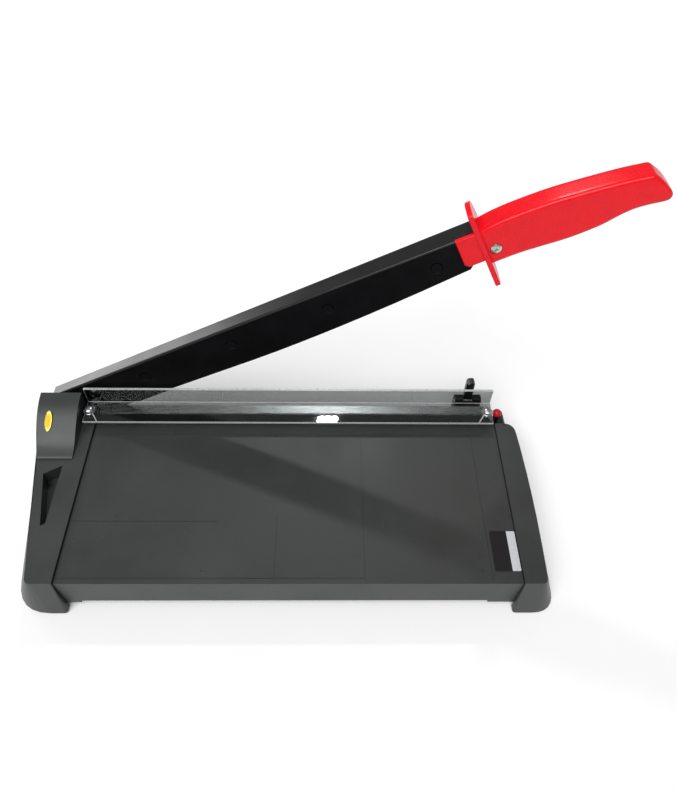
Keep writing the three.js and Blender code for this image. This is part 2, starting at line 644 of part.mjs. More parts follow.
// Everything on the pivot, from the front: head, lug, blade and arm on their bush, washer,
// two disc springs, washer, nut. Z and X of the axis, in the order that rod takes them.
const AXIS = [-PIVOT_DOWN, -PIVOT_LEFT];
const BLADE_FRONT = GAP / 2;
const WEB_FRONT = BLADE_FRONT + BLADE_THICKNESS + GAP;
const WEB_BACK = WEB_FRONT + ARM_SHEET;
const WASHER_BACK = WEB_BACK + GAP + 1.5;
const SPRING_STEP = 1.6;
const SPRINGS_BACK = WASHER_BACK + 2 * (GAP + SPRING_STEP);
const OUTER_WASHER_BACK = SPRINGS_BACK + GAP + 1.2;
const NUT_FRONT = OUTER_WASHER_BACK + GAP;
const NUT_BACK = NUT_FRONT + PIVOT_NUT_THICKNESS;
const BUSH_RADIUS = PIVOT_RADIUS + RUNNING + BUSH_WALL;
const EYE_RADIUS = BUSH_RADIUS + RUNNING;        // hole for the bush in the blade and the channel

function makePivotBolt() {
  const shank = rod(PIVOT_RADIUS, 'y', BED_FRONT - 2, NUT_BACK + 2, AXIS);
  const head = rod(PIVOT_HEAD_RADIUS, 'y', BED_FRONT - GAP - PIVOT_HEAD_THICKNESS, BED_FRONT - GAP, AXIS,
    PIVOT_HEAD_RADIUS, 6);
  return join(shank, head);
}

function makeDiscSpring(front) {
  const inner = PIVOT_RADIUS + 2 * GAP;
  return turned([
    [inner, front], [9.5, front + 0.7], [9.5, front + 1.5], [inner, front + 0.8], [inner, front],
  ], 'y', AXIS);
}

function makePivotNut() {
  const nut = rod(7.5, 'y', NUT_FRONT, NUT_BACK, AXIS, 7.5, 6);
  return cut(nut, rod(PIVOT_RADIUS + GAP, 'y', NUT_FRONT - 1, NUT_BACK + 1, AXIS));
}

// Arm ---------------------------------------------------------------------------------------
// The arm's pieces are drawn lying level, with the fold along X, and are turned about the pivot.
const FOLD = FOLD_ABOVE_PIVOT - PIVOT_DOWN;      // height of the fold when the arm is level
const ARM_REACH = RIGHT + PIVOT_LEFT - FOLD_START;   // s at the table's right end
const ARM_END = ARM_REACH + ARM_TONGUE;
const BLADE_END = ARM_REACH + BLADE_OVERHANG;
const GRIP_START = ARM_REACH + GRIP_CLEARANCE;
const FLANGE_END = GRIP_START - GUARD_DISC_THICKNESS - GAP;   // the flange ends at the guard disc
const HANDLE_SCREW_S = GRIP_START + HANDLE_SCREW_IN;
const RIVET_PITCH = (BLADE_END - RIVET_LAST_INSET - RIVET_FIRST) / (RIVET_COUNT - 1);
const RIVET_STATIONS = Array.from({ length: RIVET_COUNT }, (_, i) => RIVET_FIRST + i * RIVET_PITCH);

function alongArm(s) {
  return s + FOLD_START - PIVOT_LEFT;
}

function belowFold(t) {
  return FOLD - t;
}

// An (s, t) outline as (Z, X) points for a prism along Y.
function armPoint(s, t) {
  return point(belowFold(t), alongArm(s));
}

// Rear face of the channel's lip.
function armRear(s) {
  const share = (s - ARM_START) / (FLANGE_END - ARM_START);
  return BLADE_FRONT + ARM_FLANGE_START + share * (ARM_FLANGE_END - ARM_FLANGE_START);
}

function channelSection(back) {
  return [
    point(BLADE_FRONT, belowFold(0)),
    point(BLADE_FRONT, belowFold(ARM_SHEET)),
    point(WEB_FRONT, belowFold(ARM_SHEET)),
    point(WEB_FRONT, belowFold(ARM_WEB_DEPTH)),
    point(WEB_BACK, belowFold(ARM_WEB_DEPTH)),
    point(WEB_BACK, belowFold(ARM_SHEET)),
    point(back - ARM_SHEET, belowFold(ARM_SHEET)),
    point(back - ARM_SHEET, belowFold(ARM_LIP)),
    point(back, belowFold(ARM_LIP)),
    point(back, belowFold(0)),
  ];
}

// The lip at the latch, and the latch's pin behind it.
const ARM_REAR = armRear(LATCH_RIGHT + PIVOT_LEFT - FOLD_START);
const LATCH_PIN_Y = ARM_REAR + LATCH_PIN_BACK;

function makeArmChannel() {
  const main = loft(channelSection(armRear(ARM_START)), channelSection(armRear(FLANGE_END)),
    alongArm(ARM_START), alongArm(FLANGE_END), 'x');
  const tongue = prism(channelSection(BLADE_FRONT + TONGUE_FLANGE), 'x', alongArm(FLANGE_END - 2),
    alongArm(ARM_END));
  const eye = [
    armPoint(ARM_START, ARM_WEB_DEPTH - 2),
    armPoint(4, ARM_WEB_DEPTH - 2),
    armPoint(-FOLD_START + 13, FOLD_ABOVE_PIVOT + 6),
    armPoint(-FOLD_START + 7, FOLD_ABOVE_PIVOT + 12),
    armPoint(ARM_START + 1, FOLD_ABOVE_PIVOT + 12),
    armPoint(ARM_START - 4, FOLD_ABOVE_PIVOT + 6),
  ];
  let channel = join(main, tongue, prism(eye.reverse(), 'y', WEB_FRONT, WEB_BACK));
  channel = cut(channel, rod(EYE_RADIUS, 'y', WEB_FRONT - 1, WEB_BACK + 1, AXIS));
  // The window that the latch's nose enters when the arm is down.
  channel = cut(channel, box(LATCH_LEFT - 2 * GAP, LATCH_RIGHT + 2 * GAP, ARM_REAR - 3, ARM_REAR + 2,
    belowFold(CATCH_BOTTOM), belowFold(CATCH_TOP)));
  for (const s of RIVET_STATIONS) {
    const middle = armPoint(s, RIVET_DOWN).toArray();
    channel = cut(channel, rod(RIVET_RADIUS + RUNNING, 'y', WEB_FRONT - 1, WEB_BACK + 1, middle));
  }
  const screw = armPoint(HANDLE_SCREW_S, HANDLE_SCREW_T).toArray();
  return cut(channel, rod(SCREW_RADIUS + 0.4 + GAP, 'y', WEB_FRONT - 1, WEB_BACK + 1, screw));
}

// The cutting edge bows downwards between heel and toe.
function bladeEdge(inside) {
  const depths = [36.5, 35.6, 36.1, 36.2, 34.3, 30.8, 26];
  const step = (BLADE_END - 3 - BLADE_HEEL) / (depths.length - 1);
  const edge = depths.map((depth, i) => point(BLADE_HEEL + i * step, depth - inside));
  return new THREE.SplineCurve(edge).getPoints(16).map((p) => armPoint(p.x, p.y));
}

function bladeOutline(inside) {
  const heel = FOLD_ABOVE_PIVOT + BLADE_HEEL_RADIUS - 1 - inside;
  const outline = [
    armPoint(ARM_START - 4, ARM_SHEET + GAP),
    armPoint(ARM_START - 6, FOLD_ABOVE_PIVOT - 8),
    armPoint(ARM_START - 6, FOLD_ABOVE_PIVOT + 4),
    armPoint(ARM_START + 1, heel),
    armPoint(-12, heel),
    ...bladeEdge(inside),
    armPoint(BLADE_END, 23 - inside),
    armPoint(BLADE_END, ARM_SHEET + GAP),
  ];
  return outline.reverse();
}

function makeBlade() {
  const back = BLADE_FRONT + BLADE_THICKNESS;
  let blade = loft(bladeOutline(0), bladeOutline(BLADE_BEVEL), BLADE_FRONT, back, 'y');
  blade = cut(blade, rod(EYE_RADIUS, 'y', -1, WEB_FRONT, AXIS));
  for (const s of RIVET_STATIONS) {
    const middle = armPoint(s, RIVET_DOWN).toArray();
    blade = cut(blade, countersink(RIVET_RADIUS + RUNNING, BLADE_FRONT, 1, BLADE_THICKNESS, middle));
  }
  return blade;
}

function makeBush() {
  return tube(BUSH_RADIUS, PIVOT_RADIUS + RUNNING, 'y', BLADE_FRONT, WEB_BACK, AXIS);
}

function makeRivet(s) {
  const front = BLADE_FRONT + 0.1;
  return turned([
    [0, front], [RIVET_RADIUS + 1.5, front], [RIVET_RADIUS, front + 1.5], [RIVET_RADIUS, WEB_BACK + GAP],
    [3.8, WEB_BACK + GAP], [3.5, WEB_BACK + 1.4], [2.4, WEB_BACK + 2.2], [0, WEB_BACK + 2.4],
  ], 'y', armPoint(s, RIVET_DOWN).toArray(), SMALL_ROUND);
}

// Handle ------------------------------------------------------------------------------------
function gripOutline() {
  const top = new THREE.SplineCurve([
    point(-1, -1.5), point(21.5, -3.8), point(43.5, -3.2), point(70.5, 0), point(99.5, 4.6),
  ]).getPoints(10);
  const end = new THREE.SplineCurve([point(102, 6.5), point(106.9, 15.5), point(109.3, 21.8)]).getPoints(4);
  const heel = new THREE.SplineCurve([
    point(109.5, 24.2), point(107.1, 27.1), point(103, 26.9),
  ]).getPoints(4);
  const belly = new THREE.SplineCurve([
    point(97, 25.6), point(88.5, 24.5), point(79, 25.3), point(66.5, 27.8), point(48, 28.4),
    point(31.5, 27), point(16.5, 26), point(-1, 26.4),
  ]).getPoints(14);
  return [...top, ...end, ...heel, ...belly].map((p) => armPoint(GRIP_START + p.x, p.y));
}

function makeHandle() {
  const bevel = 3.2;
  const settings = {
    depth: GRIP_FRONT + GRIP_REAR - 2 * bevel,
    bevelEnabled: true,
    bevelThickness: bevel,
    bevelSize: bevel,
    bevelOffset: -bevel,
    bevelSegments: 2,
  };
  const geometry = new THREE.ExtrudeGeometry(new THREE.Shape(gripOutline()), settings);
  geometry.translate(0, 0, -GRIP_FRONT + bevel);
  const grip = toManifold(turnTo(geometry, 'y'));
  const disc = new THREE.Shape();
  const discHeight = belowFold(GUARD_DISC_DOWN);
  disc.absellipse(6, discHeight, GUARD_DISC_HALF_WIDTH, GUARD_DISC_HALF_HEIGHT, 0, 2 * Math.PI);
  const discBack = alongArm(GRIP_START);
  const oval = prism(disc, 'x', discBack - GUARD_DISC_THICKNESS, discBack);
  const guardDisc = cut(oval, box(discBack - 10, discBack + 10, -40, -GRIP_FRONT, -60, 60));
  const collar = [
    armPoint(GRIP_START - 16, -0.8), armPoint(GRIP_START - 16.5, 19.4), armPoint(GRIP_START - 14.3, 22.6),
    armPoint(GRIP_START + 4, 22.2), armPoint(GRIP_START + 4, -0.8),
  ];
  const cheek = prism(collar.reverse(), 'y', GUARD_REAR + GAP, 1);
  const seat = box(alongArm(GRIP_START - 24), alongArm(ARM_END + 1), BLADE_FRONT - GAP,
    BLADE_FRONT + TONGUE_FLANGE + GAP, belowFold(ARM_WEB_DEPTH + GAP), belowFold(-GAP));
  const head = armPoint(HANDLE_SCREW_S, HANDLE_SCREW_T).toArray();
  return cut(
    join(grip, guardDisc, cheek),
    seat,
    rod(SCREW_RADIUS + 0.4 + GAP, 'y', -5, 20, head),
    rod(4.1, 'y', -5, -GRIP_FRONT + 1.2, head),
    rod(4.6, 'y', GRIP_REAR - 2.6, 20, head, 4.6, 6),
  );
}

function makeHandleScrew() {
  const middle = armPoint(HANDLE_SCREW_S, HANDLE_SCREW_T).toArray();
  const face = -GRIP_FRONT + 1.2 - GAP;
  const radius = SCREW_RADIUS + 0.4;
  const screw = turned([
    [0, face - 1.6], [3.4, face - 1.6], [3.8, face - 0.6], [3.8, face],
    [radius, face], [radius, GRIP_REAR - 0.4], [0, GRIP_REAR - 0.4],
  ], 'y', middle, SMALL_ROUND);
  const [z, x] = middle;
  const across = box(x - 2, x + 2, face - 3, face - 1, z - 0.4, z + 0.4);
  const down = box(x - 0.4, x + 0.4, face - 3, face - 0.9, z - 2, z + 2);
  return cut(screw, across, down);
}

function makeHandleNut() {
  const middle = armPoint(HANDLE_SCREW_S, HANDLE_SCREW_T).toArray();
  const nut = rod(4.1, 'y', GRIP_REAR - 2.6 + GAP, GRIP_REAR - 0.2, middle, 4.1, 6);
  return cut(nut, rod(SCREW_RADIUS + 0.4 + GAP, 'y', 0, 20, middle));
}

// Clear guard -------------------------------------------------------------------------------
const GUARD_TOP = GUARD_HEIGHT + GUARD_SHEET;
const GUARD_FRONT = GUARD_REAR - GUARD_SHEET - GUARD_STRIP;
const POSTS = { left: -POST_LEFT, right: POST_RIGHT };

function gusset(x, lean) {
  const rib = 1;
  const outline = [
    point(x + lean * 3, POST_Y - 3.5),
    point(x + lean * 3 + lean * rib, POST_Y - 3.5),
    point(x + lean * 7 + lean * rib, GUARD_FRONT + 0.6),
    point(x + lean * 7, GUARD_FRONT + 0.6),
  ];
  return prism(outline, 'z', GUARD_TOP - 0.5, GUARD_TOP + 1);
}

function makeGuard() {
  const strip = box(-GUARD_LEFT, GUARD_RIGHT, GUARD_FRONT, GUARD_REAR, GUARD_HEIGHT, GUARD_TOP);
  const wall = box(-GUARD_LEFT, GUARD_RIGHT, GUARD_REAR - GUARD_SHEET, GUARD_REAR, GUARD_HEIGHT,
    GUARD_HEIGHT + GUARD_WALL_HEIGHT);
  let guard = join(strip, wall);
  guard = join(guard, gusset(POSTS.left, 1), gusset(POSTS.right, -1));
  for (const x of Object.values(POSTS)) {
    guard = cut(guard, rod(SCREW_RADIUS + GAP, 'z', 0, 40, [x, POST_Y]));
  }
  return guard;
}

function makePanScrew(x, y, under, length) {
  const top = under + SCREW_HEAD_HEIGHT;
  const screw = turned([
    [0, under - length], [SCREW_RADIUS, under - length], [SCREW_RADIUS, under], [SCREW_HEAD_RADIUS, under],
    [SCREW_HEAD_RADIUS, under + 0.8], [SCREW_HEAD_RADIUS * 0.7, top], [0, top],
  ], 'z', [x, y], SMALL_ROUND);
  const across = box(x - 1.9, x + 1.9, y - 0.45, y + 0.45, top - 1.2, top + 1);
  const down = box(x - 0.45, x + 0.45, y - 1.9, y + 1.9, top - 1.3, top + 1);
  return cut(screw, across, down);
}

// Latch -------------------------------------------------------------------------------------
const LATCH_AXIS = [LATCH_PIN_Y, -LATCH_PIN_DOWN];
const LATCH_BEAM_TOP = -BED_LEG - 2;
const LATCH_BEAM_BOTTOM = LATCH_BEAM_TOP - 6;

function makeLatchLever() {
  const back = LATCH_PIN_Y + 4;
  const nose = ARM_REAR + 1.5 * GAP;
  const profile = new THREE.Shape();
  profile.moveTo(back, LATCH_BEAM_BOTTOM);
  profile.lineTo(back, LATCH_TOP - 6);
  profile.quadraticCurveTo(back, LATCH_TOP, nose + 2.4, LATCH_TOP);
  profile.quadraticCurveTo(nose, LATCH_TOP, nose, LATCH_TOP - LATCH_NOSE_HEIGHT);
  profile.lineTo(back - 4, LATCH_TOP - LATCH_NOSE_HEIGHT - 1);
  profile.lineTo(back - 4, LATCH_BEAM_TOP);
  profile.lineTo(KNOB_Y - 3.5, LATCH_BEAM_TOP);
  profile.lineTo(KNOB_Y - 3.5, LATCH_BEAM_BOTTOM);
  profile.closePath();
  const hook = prism(profile, 'x', LATCH_LEFT, LATCH_RIGHT);
  const beam = box(LATCH_LEFT, KNOB_X + 1.8, KNOB_Y - 3.5, KNOB_Y + 3.5, LATCH_BEAM_BOTTOM, LATCH_BEAM_TOP);
  const stem = box(KNOB_X - 1.8, KNOB_X + 1.8, KNOB_Y - 2, KNOB_Y + 2, LATCH_BEAM_BOTTOM, 4.4);
  const bore = rod(LATCH_PIN_RADIUS + RUNNING, 'x', LATCH_LEFT - 1, LATCH_RIGHT + 1, LATCH_AXIS);
  return cut(join(hook, beam, stem), bore);
}

function makeLatchKnob() {
  return turned([
    [0, 4.7], [KNOB_RADIUS, 4.7], [KNOB_RADIUS, 5.6],
    [KNOB_RADIUS * 0.87, 7.2], [KNOB_RADIUS * 0.5, 8.4], [0, 8.9],
  ], 'z', [KNOB_X, KNOB_Y]);
}

function makeLatchBracket() {
  const left = LATCH_X - LATCH_BRACKET_HALF;
  const right = LATCH_X + LATCH_BRACKET_HALF;
  const under = LATCH_FLOOR - LATCH_PLATE;
  const floor = box(left, right, LATCH_SCREW_Y - 5, LATCH_PIN_Y + 4, under, LATCH_FLOOR);
  const ear = new THREE.Shape();
  ear.moveTo(LATCH_PIN_Y - 3.6, under);
  ear.lineTo(LATCH_PIN_Y + 5, under);
  ear.lineTo(LATCH_PIN_Y + 5, -LATCH_PIN_DOWN);
  ear.absarc(LATCH_PIN_Y + 0.7, -LATCH_PIN_DOWN, 4.3, 0, Math.PI);
  ear.closePath();
  let bracket = join(
    floor,
    prism(ear, 'x', left, LATCH_LEFT - 2 * GAP),
    prism(ear, 'x', LATCH_RIGHT + 2 * GAP, right),
  );
  for (const x of LATCH_SCREW_X) {
    bracket = cut(bracket, rod(SCREW_RADIUS + GAP, 'z', under - 1, LATCH_FLOOR + 1, [x, LATCH_SCREW_Y]));
  }
  return cut(bracket, rod(LATCH_PIN_RADIUS + GAP, 'x', left - 1, right + 1, LATCH_AXIS));
}

// Assembly ----------------------------------------------------------------------------------
add('deck', makeDeck(), charcoalPlastic);
add('left_casing', makeLeftCasing(), charcoalPlastic);
add('right_casing', makeRightCasing(), charcoalPlastic);
add('pivot_cover', makePivotCover(), charcoalPlastic);
add('bed_bar', makeBedBar(), brightSteel);
BED_SCREW_X.forEach((x, i) => add(`bed_screw_${i + 1}`, makeBedScrew(x), zincSteel));

// A pan-head screw driven upwards, its head under z.
function addScrewFromBelow(name, x, y, z, length) {
  const screw = add(name, makePanScrew(0, 0, 0, length), zincSteel);
  screw.rotation.x = Math.PI;
  screw.position.set(x, y, z - GAP);
}
let casingScrew = 0;
for (const x of DECK_SCREW_X) {
  for (const y of DECK_SCREW_Y) {
    casingScrew += 1;
    addScrewFromBelow(`casing_screw_${casingScrew}`, x, y, TAB_TOP - 2.5, 10);
  }
}
LATCH_SCREW_X.forEach((x, i) => {
  addScrewFromBelow(`latch_screw_${i + 1}`, x, LATCH_SCREW_Y, LATCH_FLOOR - LATCH_PLATE, 14);
});

for (const [name, [x, y]] of Object.entries(PADS)) {
  add(`pad_${name}`, rod(PAD_RADIUS, 'z', FLOOR, FLOOR + PAD_HEIGHT, [x, y]), rubber);
}

const badge = add('badge_plate', makeBadge(), badgeGold);
const badgePlace = coverCrest.getPoint(BADGE_AT);
const badgeSlope = coverCrest.getTangent(BADGE_AT);
badge.rotation.x = Math.atan2(-badgeSlope.y, -badgeSlope.x);
badge.position.set(-BADGE_LEFT, badgePlace.x, badgePlace.y + GAP);

add('pivot_bolt', makePivotBolt(), zincSteel);
const pivotHole = PIVOT_RADIUS + GAP;
add('pivot_inner_washer', tube(9, pivotHole, 'y', WEB_BACK + GAP, WASHER_BACK, AXIS), zincSteel);
add('disc_spring_1', makeDiscSpring(WASHER_BACK + GAP), brightSteel);
add('disc_spring_2', makeDiscSpring(WASHER_BACK + GAP + SPRING_STEP + GAP), brightSteel);
const outerWasher = tube(8.5, pivotHole, 'y', SPRINGS_BACK + GAP, OUTER_WASHER_BACK, AXIS);
add('pivot_outer_washer', outerWasher, zincSteel);
add('pivot_nut', makePivotNut(), zincSteel);

const swing = new THREE.Group();
swing.position.set(-PIVOT_LEFT, 0, -PIVOT_DOWN);
swing.rotation.y = THREE.MathUtils.degToRad(-ARM_ANGLE);
model.add(swing);
const arm = new THREE.Group();
arm.position.set(PIVOT_LEFT, 0, PIVOT_DOWN);
swing.add(arm);
add('arm_channel', makeArmChannel(), blackPaint, arm);
add('moving_blade', makeBlade(), bladeSteel, arm);
add('pivot_bush', makeBush(), brass, arm);
RIVET_STATIONS.forEach((s, i) => add(`blade_rivet_${i + 1}`, makeRivet(s), blackPaint, arm));
add('handle', makeHandle(), redPlastic, arm);
add('handle_screw', makeHandleScrew(), zincSteel, arm);
add('handle_nut', makeHandleNut(), zincSteel, arm);

add('clear_guard', makeGuard(), acrylic);
const postBase = { left: RAIL_RISE, right: 0 };
for (const side of ['left', 'right']) {
  const x = POSTS[side];
  const base = postBase[side] + GAP;
  const washerTop = GUARD_TOP + GAP + WASHER_THICKNESS;
  const hole = SCREW_RADIUS + GAP;
  const spacer = tube(POST_RADIUS, hole, 'z', base, GUARD_HEIGHT - GAP, [x, POST_Y]);
  const washer = tube(WASHER_RADIUS, hole, 'z', GUARD_TOP + GAP, washerTop, [x, POST_Y]);
  add(`guard_spacer_${side}`, spacer, acrylic);
  add(`guard_washer_${side}`, washer, brightSteel);
  add(`guard_screw_${side}`, makePanScrew(x, POST_Y, washerTop + GAP, 20), brightSteel);
}

add('latch_bracket', makeLatchBracket(), blackPlastic);
add('latch_lever', makeLatchLever(), blackPlastic);
add('latch_knob', makeLatchKnob(), redPlastic);
const pinLeft = LATCH_X - LATCH_BRACKET_HALF;
const pinRight = LATCH_X + LATCH_BRACKET_HALF;
add('latch_pin', rod(LATCH_PIN_RADIUS, 'x', pinLeft, pinRight, LATCH_AXIS), zincSteel);

const labelRight = RIGHT - 2 * GAP;
const labelFront = -TABLE_DEPTH + LABEL_IN;
const label = box(labelRight - LABEL_WIDTH, labelRight, labelFront, labelFront + LABEL_LENGTH, GAP,
  GAP + LABEL_THICKNESS);
add('label_plate', label, labelFilm);

// Origin: the middle of the footprint, on the surface that the cutter stands on.
model.updateMatrixWorld(true);
const bounds = new THREE.Box3().setFromObject(model, true);
const middle = bounds.getCenter(new THREE.Vector3());
model.position.set(-middle.x, -middle.y, -bounds.min.z);

export default model;
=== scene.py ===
"""Guillotine paper cutter: the visible surfaces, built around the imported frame.

Lengths are in metres in the part's own frame: X along the cutting line from pivot to handle, Y from the
operator's edge to the cutting line, Z up, origin in the middle of the footprint on the desk.
Points on the arm are given in millimetres as s (along it) and t (down from its top fold).
"""
import json
import math

import bmesh
import bpy
from mathutils import Matrix, Vector


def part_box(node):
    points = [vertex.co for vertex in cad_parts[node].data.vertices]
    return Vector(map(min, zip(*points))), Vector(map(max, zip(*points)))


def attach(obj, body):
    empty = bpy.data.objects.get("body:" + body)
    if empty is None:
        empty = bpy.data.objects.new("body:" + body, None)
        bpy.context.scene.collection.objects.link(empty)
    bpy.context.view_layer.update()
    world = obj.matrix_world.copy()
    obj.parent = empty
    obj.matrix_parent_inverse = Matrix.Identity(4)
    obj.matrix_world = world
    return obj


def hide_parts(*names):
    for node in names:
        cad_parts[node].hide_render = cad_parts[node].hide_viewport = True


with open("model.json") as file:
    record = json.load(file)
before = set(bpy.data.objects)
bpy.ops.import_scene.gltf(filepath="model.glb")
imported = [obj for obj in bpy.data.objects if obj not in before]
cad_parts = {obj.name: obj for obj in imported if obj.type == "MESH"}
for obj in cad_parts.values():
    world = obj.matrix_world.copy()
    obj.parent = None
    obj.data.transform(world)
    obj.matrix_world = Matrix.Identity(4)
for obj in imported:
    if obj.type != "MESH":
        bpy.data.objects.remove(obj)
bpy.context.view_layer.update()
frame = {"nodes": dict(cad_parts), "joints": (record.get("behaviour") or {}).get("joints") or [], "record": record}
MM = 0.001

bl_info = {
    "name": "Paper cutter surfaces",
    "version": (1, 0, 0),
    "blender": (4, 5, 0),
    "location": "3D View > Sidebar > Cutter",
    "description": "Moulded, folded and polished surfaces of a guillotine paper cutter",
    "category": "Add Mesh",
}

JOINTS = {joint["name"]: joint for joint in frame["joints"]}
PIVOT = Vector(JOINTS["arm_pivot"]["pos_m"])
RAISED = math.radians(-JOINTS["arm_pivot"]["range_deg"][0])
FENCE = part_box("deck")[0].x - 0.3 * MM
TABLE_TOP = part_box("deck")[1].z
CUT_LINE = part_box("bed_bar")[1].y + 0.15 * MM
GRIP_FRONT = CUT_LINE - 2.6 * MM

# On the arm, in millimetres: s from the fence, t below the fold.
HANDLE_SCREW = (329.3, 15)
GUARD_DISC = (322, 15.3)


# Sizes and colours ---------------------------------------------------------------------------
class CutterSizes(bpy.types.PropertyGroup):
    """Sizes of the surfaces that a user may change."""

    rail_edge: bpy.props.FloatProperty(
        name="Rail edge", description="Radius along the casings' upper edges",
        default=0.9 * MM, unit="LENGTH")
    cover_edge: bpy.props.FloatProperty(
        name="Cover edge", description="Radius along the pivot cover's edges",
        default=2.2 * MM, unit="LENGTH")
    table_edge: bpy.props.FloatProperty(
        name="Table edge", description="Radius along the table's front crest",
        default=0.8 * MM, unit="LENGTH")
    fold_radius: bpy.props.FloatProperty(
        name="Fold radius", description="Outer radius where the arm's sheet is folded",
        default=1.2 * MM, unit="LENGTH")
    guard_edge: bpy.props.FloatProperty(
        name="Guard edge", description="Polished edge radius of the clear guard",
        default=0.35 * MM, unit="LENGTH")
    grip_edge: bpy.props.FloatProperty(
        name="Grip edge", description="Radius between the grip's sides and its top and belly",
        default=4.6 * MM, unit="LENGTH")
    grip_voxel: bpy.props.FloatProperty(
        name="Grip mesh size", description="Edge length of the grip's fine surface",
        default=0.6 * MM, unit="LENGTH")


class CutterColours(bpy.types.PropertyGroup):
    """Colours of the finishes, as sRGB hex values."""

    table_hex: bpy.props.StringProperty(
        name="Table", description="Charcoal of the table and the casings", default="#2c2f2e")
    nylon_hex: bpy.props.StringProperty(
        name="Nylon", description="Black of the latch", default="#101112")
    handle_hex: bpy.props.StringProperty(
        name="Handle", description="Red of the handle and the latch button", default="#e00d1c")
    enamel_hex: bpy.props.StringProperty(
        name="Arm", description="Black enamel of the arm", default="#0c0c0d")
    blade_hex: bpy.props.StringProperty(
        name="Blade", description="Blackened blade steel", default="#0a0a0c")
    badge_hex: bpy.props.StringProperty(
        name="Badge", description="Gold foil of the badge", default="#b3901a")
    floor_hex: bpy.props.StringProperty(
        name="Floor", description="Pale floor", default="#f4f4f4")


class CutterCamera(bpy.types.PropertyGroup):
    """Where the stage's camera stands."""

    place: bpy.props.FloatVectorProperty(
        name="Place", description="Camera position, from the fence's rear end at the table's surface",
        subtype="TRANSLATION", default=(0.1832, -0.3332, 0.4265))
    pitch: bpy.props.FloatProperty(
        name="Pitch", description="How far the camera looks down", subtype="ANGLE",
        default=math.radians(51.14))
    yaw: bpy.props.FloatProperty(
        name="Yaw", description="How far the camera turns to the right", subtype="ANGLE",
        default=math.radians(1.64))
    roll: bpy.props.FloatProperty(
        name="Roll", description="How far the camera leans anticlockwise", subtype="ANGLE",
        default=math.radians(1.53))
    lens: bpy.props.FloatProperty(
        name="Lens", description="Focal length in millimetres on a 36 mm sensor", default=30.02)


# Materials -----------------------------------------------------------------------------------
def linear(hex_colour):
    """An sRGB hex colour as linear RGBA."""
    values = [int(hex_colour[i:i + 2], 16) / 255 for i in (1, 3, 5)]
    return [v / 12.92 if v <= 0.04045 else ((v + 0.055) / 1.055) ** 2.4 for v in values] + [1.0]


def add_node(tree, kind, settings=None, stops=(), **inputs):
    """One node. Each input, with _ for a space in its name, is a value or another node's socket.
    The stops are a colour ramp's (position, colour) pairs."""
    made = tree.nodes.new(kind)
    for name, value in (settings or {}).items():
        setattr(made, name, value)
    for name, value in inputs.items():
        key = int(name[1:]) if name[0] == "i" and name[1:].isdigit() else name.replace("_", " ")
        if isinstance(value, bpy.types.NodeSocket):
            tree.links.new(value, made.inputs[key])
        else:
            made.inputs[key].default_value = value
    if stops:
        elements = made.color_ramp.elements
        while len(elements) < len(stops):
            elements.new(0.5)
        for element, (position, colour) in zip(elements, stops):
            element.position = position
            element.color = colour
    return made


def new_material(name, **settings):
    """A material with only a Principled shader, whose sockets are set as given."""
    material = bpy.data.materials.new(name)
    material.use_nodes = True
    tree = material.node_tree
    shader = tree.nodes["Principled BSDF"]
    for key, value in settings.items():
        shader.inputs[key.replace("_", " ")].default_value = value
    return material, tree, shader


def feed(tree, shader, **sockets):
    """Links other nodes' sockets to the shader's inputs of these names."""
    for name, socket in sockets.items():
        tree.links.new(socket, shader.inputs[name.replace("_", " ")])


def grey(level):
    return (level, level, level, 1.0)


def shade(colour, factor):
    return tuple(c * factor for c in colour[:3]) + (1.0,)


def moulded_abs(name, colour_hex, roughness):
    """ABS or nylon, injection moulded in a spark-eroded tool: a fine even grain that spreads the
    highlights into a soft sheen, with faint flow marks and a few specks of dust."""
    colour = linear(colour_hex)
    material, tree, shader = new_material(name, IOR=1.53, Specular_IOR_Level=0.5)
    place = add_node(tree, "ShaderNodeTexCoord").outputs["Object"]
    # Grain of 0.35 mm, coarser than the real 0.1 mm so that it shows.
    grain = add_node(tree, "ShaderNodeTexNoise", Vector=place, Scale=1 / (0.35 * MM), Detail=2.0,
                     Roughness=0.6)
    # Flow marks and handling haze are 30 to 60 mm wide.
    haze = add_node(tree, "ShaderNodeTexNoise", Vector=place, Scale=1 / (45 * MM), Detail=4.0,
                    Roughness=0.55)
    tone = add_node(tree, "ShaderNodeValToRGB", Fac=haze.outputs["Fac"],
                    stops=[(0.3, shade(colour, 0.9)), (0.7, shade(colour, 1.12))]).outputs["Color"]
    # Specks of dust about 0.5 mm across, 8 mm apart.
    dust = add_node(tree, "ShaderNodeTexVoronoi", Vector=place, Scale=1 / (8 * MM))
    speck = add_node(tree, "ShaderNodeValToRGB", Fac=dust.outputs["Distance"],
                    stops=[(0.02, grey(1.0)), (0.05, grey(0.0))]).outputs["Color"]
    dusty = add_node(tree, "ShaderNodeMix", {"data_type": "RGBA"}, i6=tone,
                     i7=shade(colour, 3.0), i0=speck)
    feed(tree, shader, Base_Color=dusty.outputs[2])
    low, high = roughness
    rough = add_node(tree, "ShaderNodeMapRange", Value=haze.outputs["Fac"], From_Min=0.3,
                     From_Max=0.7, To_Min=low, To_Max=high)
    feed(tree, shader, Roughness=rough.outputs["Result"])
    relief = add_node(tree, "ShaderNodeBump", Height=grain.outputs["Fac"], Strength=0.35, Distance=0.05 * MM)
    feed(tree, shader, Normal=relief.outputs["Normal"])
    return material


